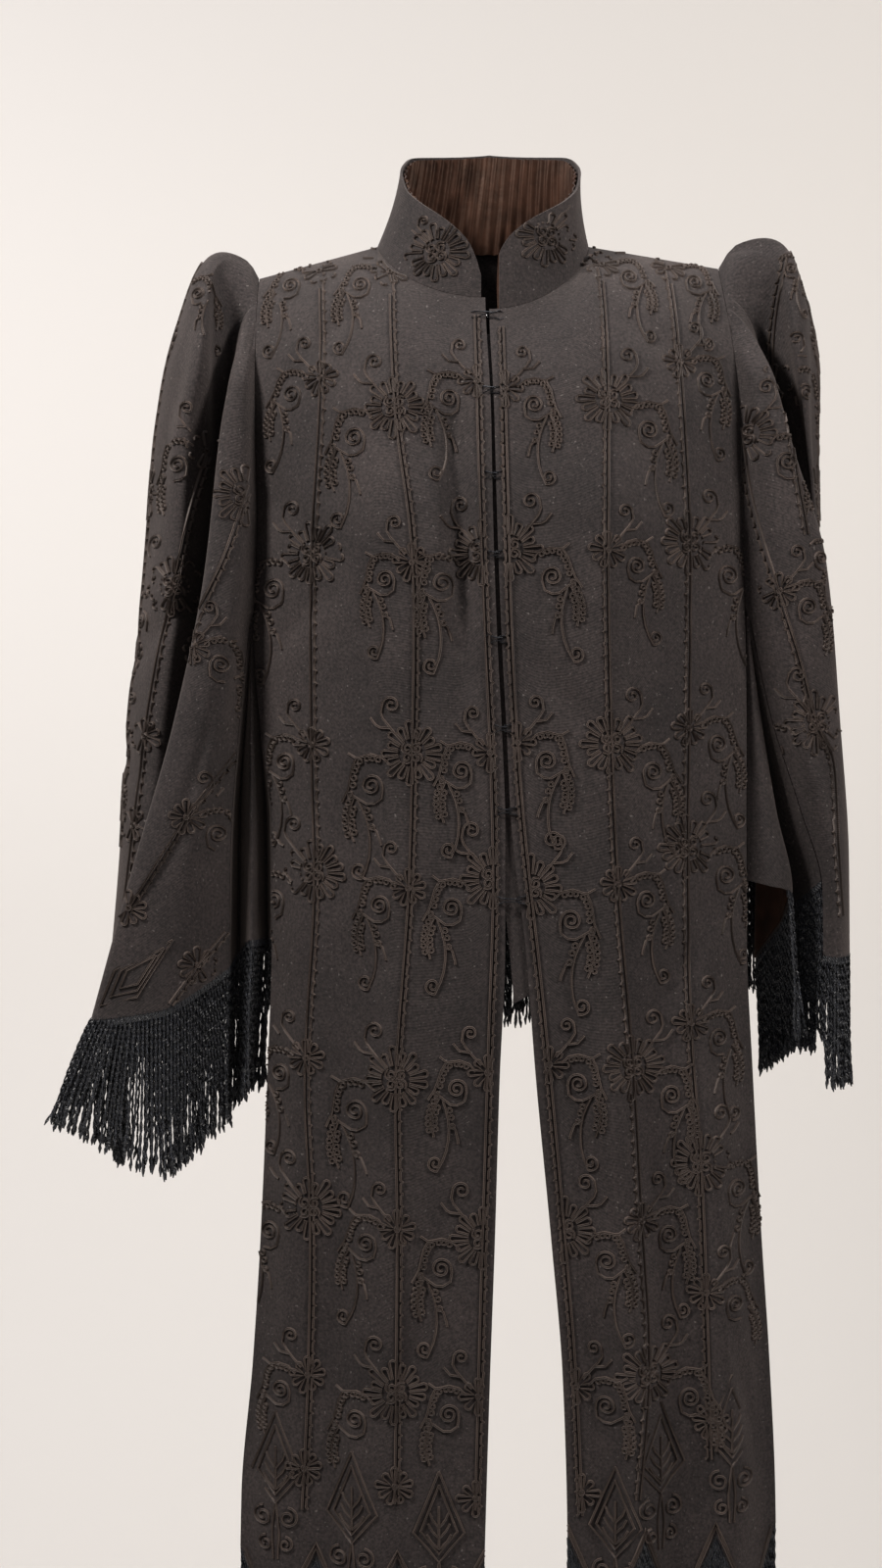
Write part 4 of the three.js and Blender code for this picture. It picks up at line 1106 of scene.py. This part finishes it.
SPRAY_TURN = 6
SPRAY_SIZES = (0.93, 1.05)
SPRAY_SCROLL = ((14.2, -15), 8.3, np.pi * 1.08, 1.9, -1)
TAIL_SCROLL = ((27.5, -77.5), 6.6, -np.pi * 0.6, 1.5, 1)
SPRAY = {
    "arc": [(0, 0), (6, 6), (15, 8), (24, 6), (30, 10)],
    "drop": [(24, 6), (28.5, -3), (31, -15), (37, -26)],
    "bunch": [(27, -22), (32, -33), (33, -44), (30, -56)],
    "sweep": [(6, -17), (8, -26), (17, -29), (28, -22)],
}
SPRAY_TAIL = {
    "stalk": [(25, -25), (20, -38), (18, -52), (20, -70), (26, -84)],
    "leaf": [(19, -44), (12, -50), (10, -60)],
}
UPPER = {
    "stalk": [(5, 6), (13, 15), (20, 25), (19, 33)],
    "scroll": ((13.5, 31), 5.6, 0.3, 1.4, 1),
    "leaf": [(14, 16), (22, 17), (27, 23)],
}
BERRIES = table(
    "on side shares",
    ("arc", -1, (0.3, 0.45, 0.6, 0.75)),
    ("drop", -1, (0.2, 0.36, 0.52, 0.68, 0.84)),
    ("bunch", 1, (0.06, 0.2, 0.34, 0.48, 0.62, 0.76, 0.9)),
    ("bunch", -1, (0.3, 0.45, 0.6, 0.75, 0.9)),
    ("stalk", -1, (0.18, 0.3, 0.42)),
)


def spray(root, flip, size, chance, tail=True):
    """A branch that arches out of a flower, drops in rows of berries, and ends in scrolls."""
    parts = {name: curve_through(points) for name, points in SPRAY.items()}
    lines = [*parts.values(), scroll(*SPRAY_SCROLL)]
    if tail:
        ends = {name: curve_through(points) for name, points in SPRAY_TAIL.items()}
        lines += [*ends.values(), scroll(*TAIL_SCROLL)]
        parts.update(ends)
    for row in BERRIES:
        if row["on"] in parts:
            lines += berries(parts[row["on"]], row["shares"], row["side"])
    turn = math.radians(mix(-SPRAY_TURN, SPRAY_TURN, chance.random()))
    size = size * mix(*SPRAY_SIZES, chance.random())
    spin = np.array([[math.cos(turn), math.sin(turn)], [-math.sin(turn), math.cos(turn)]])
    return [np.array(root) + (line @ spin) * np.array([flip, 1]) * size for line in lines]


def upper_scroll(centre, flip, size):
    """A stalk that climbs out of a flower and curls back, with a leaf on its outer side."""
    lines = [curve_through(UPPER["stalk"]), scroll(*UPPER["scroll"]), curve_through(UPPER["leaf"])]
    return [np.array(centre) + line * np.array([flip, 1]) * size for line in lines]


def stem(path, flip):
    """An upright pair of braids, the outer one with a picot at even steps."""
    line = curve_through(path, 1.0)
    run = unit(np.gradient(line, axis=0))
    out = np.stack([-run[:, 1], run[:, 0]], axis=-1) * flip
    along = np.concatenate([[0], np.cumsum(np.linalg.norm(np.diff(line, axis=0), axis=1))])
    phase = (along / PICOT["every"]) % 1
    knot = np.maximum(0, 1 - np.abs(phase - 0.5) * PICOT["every"] / PICOT["wide"])
    return [line, line + out * (PICOT["apart"] + PICOT["out"] * knot)[:, None]]


def tidy_line(line, most_turn=20, longest=7.0):
    """The line with only the points that its bends need."""
    keep = [0]
    for k in range(1, len(line) - 1):
        step, ahead = line[k] - line[keep[-1]], line[k + 1] - line[k]
        gone = math.hypot(*step)
        if gone < 0.5 or math.hypot(*ahead) < 1e-6:
            continue
        bend = abs(math.degrees(math.atan2(step[0] * ahead[1] - step[1] * ahead[0], float(step @ ahead))))
        if bend > most_turn or gone > longest:
            keep.append(k)
    return line[keep + [len(line) - 1]]


def tube_faces(first, rings, sides, way=1):
    """The faces of a closed tube of rings of points; way is -1 where the rings run clockwise."""
    faces = []
    for k in range(rings - 1):
        for j in range(sides):
            a, b = first + k * sides + j, first + k * sides + (j + 1) % sides
            faces.append((a, b, b + sides, a + sides) if way > 0 else (a, a + sides, b + sides, b))
    last = first + (rings - 1) * sides
    around = range(sides)[::way]
    return faces + [tuple(first + j for j in around[::-1]), tuple(last + j for j in around)]


def braided(name, cloth, lines, frame_axes, keep):
    """One mesh of all the lines, laid on a piece of cloth from the direction of frame_axes."""
    surface = BVHTree.FromPolygons(
        [v.co[:] for v in cloth.data.vertices], [p.vertices[:] for p in cloth.data.polygons]
    )
    origin, right, up, ahead = [Vector(axis) for axis in frame_axes]
    sides = len(CORD_SECTION)
    points, faces, uvs = [], [], []

    def add_run(run):
        if len(run) < 2:
            return
        centre = np.array([hit for hit, _ in run])
        normal = unit(np.array([n for _, n in run]))
        along = unit(np.gradient(centre, axis=0))
        across = unit(np.cross(along, normal))
        normal = np.cross(across, along)
        body = centre + normal * CORD["sunk"]
        faces.extend(tube_faces(len(points), len(run), sides))
        gone = np.concatenate([[0], np.cumsum(np.linalg.norm(np.diff(centre, axis=0), axis=1))])
        for k in range(len(run)):
            for j, (a, b) in enumerate(CORD_SECTION):
                out = across[k] * a * CORD["half_width"]
                points.append(body[k] + out + normal[k] * b * CORD["height"])
                uvs.append((gone[k], j * CORD_SIDE))

    for line in lines:
        run = []
        for a, b in tidy_line(np.asarray(line, float)):
            start = origin + right * a + up * b
            hit, normal, _, _ = surface.ray_cast(start / 1000, ahead, FAR_M)
            good = hit is not None and keep(normal)
            if run and (not good or abs((hit * 1000 - Vector(run[-1][0])).dot(ahead)) > MOST_DEPTH_STEP):
                add_run(run)
                run = []
            if good:
                run.append((tuple(hit * 1000), tuple(normal)))
        add_run(run)
    return mesh_object(name, points, faces, braid, uvs=np.array(uvs), smooth_angle=75)


FROM_FRONT = ((0, -600, 0), (1, 0, 0), (0, 0, 1), (0, 1, 0))
BY_SIZE = {
    "large": {"reach": (17, -8), "spray": 1.0, "scroll": 1.15},
    "small": {"reach": (9, 1), "spray": 0.9, "scroll": 0.95},
}
TAILS_END = -800
SEEDS = {"front": 40, "collar": 7, "sleeve": 90}
FACES_FRONT = -0.2


def stem_row(path, way=None, bare=False, **levels):
    """A stem: its path, and the levels of its flowers under the name of their kind."""
    flowers = [(kind, level) for kind, row in levels.items() for level in row]
    flowers.sort(key=lambda one: -one[1])
    return {"path": path, "flowers": flowers, "way": way, "bare": bare}


def planted(rows, out, chance, last=-2000, tail=True):
    """Every stem of a piece with its flowers, and a spray and a scroll from each of them."""
    lines = []
    for row in rows:
        lines += stem(row["path"], -out)
        path = np.array(row["path"], float)[::-1]
        way = out if row["way"] is None else row["way"]
        for kind, level in row["flowers"]:
            at = np.array([float(np.interp(level, path[:, 1], path[:, 0])), level])
            plan = BY_SIZE[kind.split("_")[-1]]
            lines += flower(at, kind, way, chance)
            if level > last and not row["bare"]:
                reach = np.array(plan["reach"]) * np.array([way, 1])
                lines += spray(at + reach, way, plan["spray"], chance, tail and level > TAILS_END)
                lines += upper_scroll(at, way, plan["scroll"])
    return lines


# One row for each stem: where it runs, and the levels of each kind of flower on it.
FRONT_STEMS = {
    -1: [
        stem_row(
            [(-130, 2), (-125, -110), (-131, -260), (-131, -400), (-129, -500), (-136, -640),
             (-132, -750), (-134, -880), (-138, -965)],
            small=(-16, -112, -390, -626, -864, -934), large=(-247, -486, -738),
        ),
        stem_row(
            [(-75, 8), (-68, -140), (-55, -250), (-55, -400), (-58, -505), (-67, -640), (-66, -745),
             (-67, -870), (-68, -955)],
            small=(-22, -256, -497, -750, -942), large=(-138, -397, -639, -872),
        ),
        stem_row(
            [(-8, -62), (-5, -200), (-1, -310), (3, -400), (5, -500), (2, -600), (-1, -700), (-4, -800),
             (-8, -960)],
            half_small=(-118, -397, -634, -875, -951), half_large=(-248, -490, -757),
        ),
    ],
    1: [
        stem_row(
            [(14, -72), (16, -200), (19, -310), (24, -400), (30, -470), (40, -560), (48, -640),
             (58, -750), (67, -860), (72, -965)],
            half_small=(-124, -389, -628, -868, -948), half_large=(-246, -497, -751),
        ),
        stem_row(
            [(92, 12), (92, -130), (90, -250), (93, -390), (98, -495), (109, -630), (115, -740),
             (121, -850), (114, -950)],
            small=(-14, -247, -494, -744), large=(-132, -390, -630, -858),
        ),
        stem_row(
            [(145, 6), (149, -100), (154, -240), (153, -380), (152, -470), (154, -600), (161, -700),
             (166, -830), (169, -925)],
            small=(-13, -98, -378, -599, -800, -896), large=(-238, -467, -703),
        ),
    ],
}
LOZENGES = {-1: [(-158, -893), (-100, -918), (-35, -931)], 1: [(96, -926), (130, -880), (184, -862)]}
LOZENGE_HALF = ((0, 0), (9, -22), (19, -46), (8, -58), (0, -68))
LOZENGE_INNER = {"wide": 0.72, "tall": 0.76, "down": 10}
LOZENGE_SPRIG = (-26, 10)
LOZENGE_LEAVES = table("level reach", (-36, 7), (-44, 8), (-52, 9))
LOZENGE_SCROLLS = table("out down radius turns", (9.5, 11, 8, 1.6), (7.5, 31, 6, 1.4))
LOZENGE_TAIL = [(0, 0), (2.5, -20), (1.5, -42)]
FLOWERS_END = -885
HEM_LINES = (6.0, 10.0)


def lozenge(x, top):
    """A tall pointed frame over a hem point, with a leaf sprig in it and paired scrolls below."""
    low = top + LOZENGE_HALF[-1][1]
    outline = [(x + a, top + b) for a, b in LOZENGE_HALF]
    outline += [(x - a, top + b) for a, b in LOZENGE_HALF[-2::-1]]
    wide, tall = LOZENGE_INNER["wide"], LOZENGE_INNER["tall"]
    inner = [(x + (a - x) * wide, (b - top) * tall + top - LOZENGE_INNER["down"]) for a, b in outline]
    sprig = [(x, top + LOZENGE_SPRIG[0]), (x, low + LOZENGE_SPRIG[1])]
    lines = [np.array(outline), np.array(inner), np.array(sprig)]
    for flip in (-1, 1):
        for leaf in LOZENGE_LEAVES:
            reach, z = flip * leaf["reach"], top + leaf["level"]
            lines.append(curve_through([(x, z - 6), (x + reach * 0.7, z), (x + reach, z + 5)]))
        for row in LOZENGE_SCROLLS:
            eye = (x + flip * row["out"], low - row["down"])
            lines.append(scroll(eye, row["radius"], math.pi / 2, row["turns"], -flip))
        lines.append(curve_through([(x + flip * a, low + b) for a, b in LOZENGE_TAIL]))
    return lines


for side, cut in SIDES.items():
    chance = np.random.default_rng(SEEDS["front"] + side)
    lines = planted(FRONT_STEMS[side], side, chance, last=FLOWERS_END)
    for x, top in LOZENGES[side]:
        lines += lozenge(x, top)
    for lift in HEM_LINES:
        lines.append(front_grids[side][-1][:, [0, 2]] + np.array([0, lift]))
    name = f"braid_front_{cut['name']}"
    braided(name, front_walls[side], lines, FROM_FRONT, lambda normal: normal.y < FACES_FRONT)

# The collar has a large flower on each front corner.
chance = np.random.default_rng(SEEDS["collar"])
lines = flower((-37, -9), "large", -1, chance) + flower((48, 3), "large", 1, chance)
lines += upper_scroll((48, 8), 1, 0.95) + upper_scroll((-37, -4), -1, 0.7)
braided("braid_collar", collar_wall, lines, FROM_FRONT, lambda normal: normal.y < FACES_FRONT)

# Sleeves. What faces the front is worked from there, and the rest of each sleeve from its side.
SLEEVE_STEMS = {
    -1: [
        stem_row(
            [(-215, -159), (-226, -200), (-240, -267), (-251, -310), (-263, -372), (-270, -420),
             (-277, -470), (-284, -520)],
            small=(-161, -382, -452), large=(-267,),
        ),
        stem_row([(-181, -192), (-197, -245), (-220, -300), (-222, -330)], small=(-316,), way=1),
        stem_row([(-182, -196), (-184, -204), (-186, -212)], half_large=(-200,), way=-1, bare=True),
        stem_row([(-187, -390), (-225, -445), (-269, -515)], small=(-445,), way=1),
        stem_row([(-187, -390), (-225, -445), (-269, -515)], small=(-513,), bare=True),
        stem_row([(-194, -527), (-218, -557), (-238, -585)], small=(-557,), bare=True),
    ],
    1: [
        stem_row([(238, -6), (229, -60), (229, -104), (236, -170), (246, -230)], small=(-104,)),
        stem_row(
            [(197, -130), (206, -202), (223, -270), (245, -343), (253, -373), (266, -398), (271, -470),
             (275, -521)],
            half_large=(-152,), small=(-273,),
        ),
        stem_row([(245, -343), (253, -373), (266, -398)], large=(-373,), way=-1),
    ],
}
HEAD_SPRAYS = {
    -1: table("at size", ((-232, -30), 0.72)),
    1: table("at size", ((232, -8), 0.62), ((247, -238), 0.66)),
}
SIDE_STEMS = [
    stem_row([(-14, 30), (-10, -150), (-6, -300), (-2, -470)], small=(-70, -320), large=(-190, -430)),
    stem_row([(52, 20), (52, -150), (54, -300), (56, -450)], large=(-120, -360), small=(-250,)),
]
SLEEVE_LOZENGE = [(-235, -537), (-262, -580), (-290, -587), (-279, -560)]
LOZENGE_SHRINKS = (1, 0.74, 0.5)
SIDE_START = 700
SLEEVE_FACES = {"front": -0.3, "side": 0.45, "rear": -0.45}
for side, cut in SIDES.items():
    chance = np.random.default_rng(SEEDS["sleeve"] + side)
    lines = planted(SLEEVE_STEMS[side], side, chance, tail=False)
    for row in HEAD_SPRAYS[side]:
        lines += spray(row["at"], 1, row["size"], chance)
    if side < 0:
        corners = np.array(SLEEVE_LOZENGE + SLEEVE_LOZENGE[:1], float)
        middle = corners.mean(axis=0)
        lines += [middle + (corners - middle) * shrink for shrink in LOZENGE_SHRINKS]
    name, cloth = f"braid_sleeve_{cut['name']}", sleeve_walls[side]
    braided(f"{name}_front", cloth, lines, FROM_FRONT, lambda normal: normal.y < SLEEVE_FACES["front"])
    lines = planted(SIDE_STEMS, 1, chance)
    from_side = ((side * SIDE_START, 0, 0), (0, 1, 0), (0, 0, 1), (-side, 0, 0))

    def outer(normal):
        """What faces the sleeve's side, and not its back."""
        return normal.x * side > SLEEVE_FACES["side"] and normal.y > SLEEVE_FACES["rear"]

    braided(f"{name}_side", cloth, lines, from_side, outer)


# ----------------------------------------------------------
# Silk fringe. Twisted black silk cords hang close together from a narrow woven heading that is
# sewn under every hem, three cords deep on the sleeves and two elsewhere.
SILK = (0.0042, 0.0042, 0.0050)
SILK_LIGHT = (0.0110, 0.0112, 0.0135)
TWIST = {"sides": 3, "step": 4.6, "turn": 1.05, "radius": 1.15, "straight": 0.5, "side_uv": 1.3}
STRAY = {"root": 0.12, "short": 0.07, "long": 0.04, "across": 1.9, "deep": 2.0}
SWAY = {"size": 1.6, "spread": 0.9, "across": 14, "deep": 12, "grow": 1.4}
THICK = {"size": 0.12, "waves": 40}
ANY_TURN = 6.28
KNOT = (1.5, 0.5)
HEADING = {"drop": 5, "gap": 0.25, "thickness": 1.4}
ROOT = {"behind": 0.6, "layer": 1.1, "up": 1.0}

silk, tree, shader, place = new_material("fringe_silk")
strand = texture(tree, "Wave", along_cloth(tree), Scale=260, Distortion=0.4, bands_direction="DIAGONAL")
tone = texture(tree, "Noise", place, Scale=90, Detail=2)
finish(
    tree,
    shader,
    ramp(tree, tone, SILK, SILK_LIGHT, 0.35, 0.7),
    [(strand, 0.6, 0.0004)],
    Roughness=0.42,
    Sheen_Weight=0.1,
    Sheen_Tint=(0.7, 0.75, 0.9, 1),
)

FRINGES = table(
    "name shares lengths every layers seed",
    ("sleeve_right", (0, 0.14, 0.26, 0.4, 1), (120, 130, 116, 124, 112), 3.1, 3, 11),
    ("sleeve_left", (0, 0.3, 0.5, 1), (104, 96, 100, 104), 3.1, 3, 83),
    ("gusset_right", (0, 1), (118, 124), 2.9, 2, 151),
    ("gusset_left", (0, 0.45, 1), (116, 88, 132), 2.7, 2, 197),
    ("back", (0, 1), (110, 110), 2.8, 2, 241),
    ("front_right", (0, 1), (122, 122), 2.3, 2, 307),
    ("front_left", (0, 1), (122, 122), 2.3, 2, 353),
)


def right_sleeve_sway(u):
    """The fringe of the right sleeve swings out over the arm."""
    return vec(-34 * bump((u - 0.27) / 0.2), 0, 34 * bump((u - 0.28) / 0.26))


# For each fringe: the edge that it hangs from, which way that faces, and how its cords lean.
HEMS = {
    "sleeve_right": (sleeve_grids[-1][-1], 1, right_sleeve_sway),
    "sleeve_left": (sleeve_grids[1][-1], -1, lambda u: vec(4 * bump((u - 0.4) / 0.6), 0, 0)),
    "gusset_right": (gusset_grids[-1][-1, 5:], 1, lambda u: vec(mix(-8, -2, u), 6, 0)),
    "gusset_left": (gusset_grids[1][-1, 25:], -1, lambda u: vec(mix(8, 2, u), 4, 0)),
    "back": (back_grid[-1], 1, lambda u: vec(0, 3, 0)),
    "front_right": (front_grids[-1][-1], 1, lambda u: vec(0, 0, 0)),
    "front_left": (front_grids[1][-1], -1, lambda u: vec(0, 0, 0)),
}


def cord(root, length, lean, chance):
    """One twisted cord from its root, as the points and UVs of its rings and their number."""
    drift = np.array([chance.normal(0, STRAY["across"]), chance.normal(0, STRAY["deep"]), 0])
    phase = chance.random() * ANY_TURN
    sway = SWAY["size"] * (SWAY["spread"] * chance.random())
    steps = int(length / TWIST["step"])
    share = np.linspace(0, 1, steps + 1)
    loose = np.maximum(0, (share - TWIST["straight"]) / (1 - TWIST["straight"])) ** SWAY["grow"]
    path = root + np.outer(share, [0, 0, -length]) + np.outer(share**0.9, lean) + np.outer(loose, drift)
    path[:, 0] += sway * np.sin(share * SWAY["across"] + phase) * loose
    path[:, 1] += sway * np.cos(share * SWAY["deep"] + phase) * loose
    radii = TWIST["radius"] * (1 + THICK["size"] * np.sin(share * THICK["waves"] + phase))
    radii[-2:] = TWIST["radius"] * np.array(KNOT)
    points, uvs = [], []
    for i in range(steps + 1):
        for j in range(TWIST["sides"]):
            angle = phase + TWIST["turn"] * i + 2 * np.pi * j / TWIST["sides"]
            points.append(path[i] + radii[i] * np.array([np.cos(angle), np.sin(angle), 0]))
            uvs.append((share[i] * length, j * TWIST["side_uv"]))
    return points, uvs, steps + 1


for plan in FRINGES:
    name = plan["name"]
    hem, facing, sway = HEMS[name]
    chance = np.random.default_rng(plan["seed"])
    run = np.concatenate([[0], np.cumsum(np.linalg.norm(np.diff(hem, axis=0), axis=1))])

    def hem_at(along):
        """The point of the hem at a length along it."""
        return np.array([np.interp(along, run, hem[:, axis]) for axis in range(3)])

    points, faces, uvs = [], [], []
    for layer in range(plan["layers"]):
        count = int(run[-1] / plan["every"])
        for u in (np.arange(count) + 0.5 + 0.5 * layer) / (count + 0.5):
            at = u * run[-1] + chance.normal(0, STRAY["root"])
            ahead = (hem_at(at + 2) - hem_at(at - 2))[:2]
            inward = facing * np.array([ahead[1], -ahead[0], 0]) / max(np.linalg.norm(ahead), 1e-6)
            behind = inward * (ROOT["behind"] + ROOT["layer"] * layer)
            root = hem_at(at) + behind + np.array([0, 0, ROOT["up"]])
            cut = 1 - STRAY["short"] * abs(chance.normal()) + STRAY["long"] * chance.random()
            length = np.interp(u, plan["shares"], plan["lengths"]) * cut
            more, more_uvs, rings = cord(root, length, sway(u), chance)
            faces += tube_faces(len(points), rings, TWIST["sides"], way=-1)
            points += more
            uvs += more_uvs
    fringe = f"silk_fringe_{name}"
    piece = mesh_object(fringe, points, faces, silk, uvs=np.array(uvs), smooth_angle=60)
    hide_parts(f"fringe_{name}")
    drop = np.array([0, 0, -HEADING["drop"]])
    band = np.stack([hem + np.array([0, 0, 0.5]), hem + drop * 0.5, hem + drop])
    band = band - normals_of(band, facing) * HEADING["gap"]
    wall(f"silk_heading_{name}", band, HEADING["thickness"], facing, silk)


# ----------------------------------------------------------
# Hooks and eyes. Black japanned wire, bent into flat hooks on the right front and round eyes on
# the left, sewn down at nearly even steps from the neck to the hip.
FASTENERS = 8
JAPAN = (0.018, 0.018, 0.021)
# A lighter worn-metal colour, which also serves as painted glints on the hooks and eyes.
WORN_WIRE_AND_GLINT = (0.09, 0.088, 0.085)

japan, tree, shader, place = new_material("japanned_wire")
# Lighter flecks over the black: worn japanning, and painted glints where the lamps would catch the wire.
chips_and_glints = texture(tree, "Noise", place, Scale=700, Detail=2)
tone = ramp(tree, chips_and_glints, JAPAN, WORN_WIRE_AND_GLINT, 0.55, 0.8)
finish(tree, shader, tone, [(chips_and_glints, 0.2, 0.0001)], Metallic=0.85, Roughness=0.3)
for number in range(1, FASTENERS + 1):
    for kind in ("hook", "eye"):
        node = frame["nodes"][f"{kind}_{number}"]
        node = bpy.data.objects[node] if isinstance(node, str) else node
        for slot in node.material_slots:
            slot.material = japan

# ----------------------------------------------------------
# Flat cuts. One row for each piece of cloth: its width and length before sewing, in metres, the
# area of that cut, and how it hangs. The braid and fringe sewn to a cloth bear its name.
CUTS = table(
    "piece flat area held",
    ("cloth_front_right", (0.24, 1.10), 0.205, "hung"),
    ("cloth_front_left", (0.24, 1.10), 0.204, "hung"),
    ("cloth_back", (0.40, 0.54), 0.190, "hung"),
    ("cloth_sleeve_right", (0.48, 0.64), 0.208, "gathered"),
    ("cloth_sleeve_left", (0.40, 0.60), 0.156, "gathered"),
    ("cloth_gusset_right", (0.13, 0.28), 0.021, "folded"),
    ("cloth_gusset_left", (0.17, 0.28), 0.020, "folded"),
    ("cloth_collar", (0.47, 0.10), 0.029, "stretched"),
    ("lining_collar", (0.56, 0.10), 0.033, "gathered"),
    ("lining_gusset_left", (0.07, 0.10), 0.007, "folded"),
    ("cloth_fly_guard", (0.022, 0.51), 0.0110, "hung"),
)
for cut in CUTS:
    kind, _, name = cut["piece"].partition("_")
    piece = bpy.data.objects[cut["piece"]]
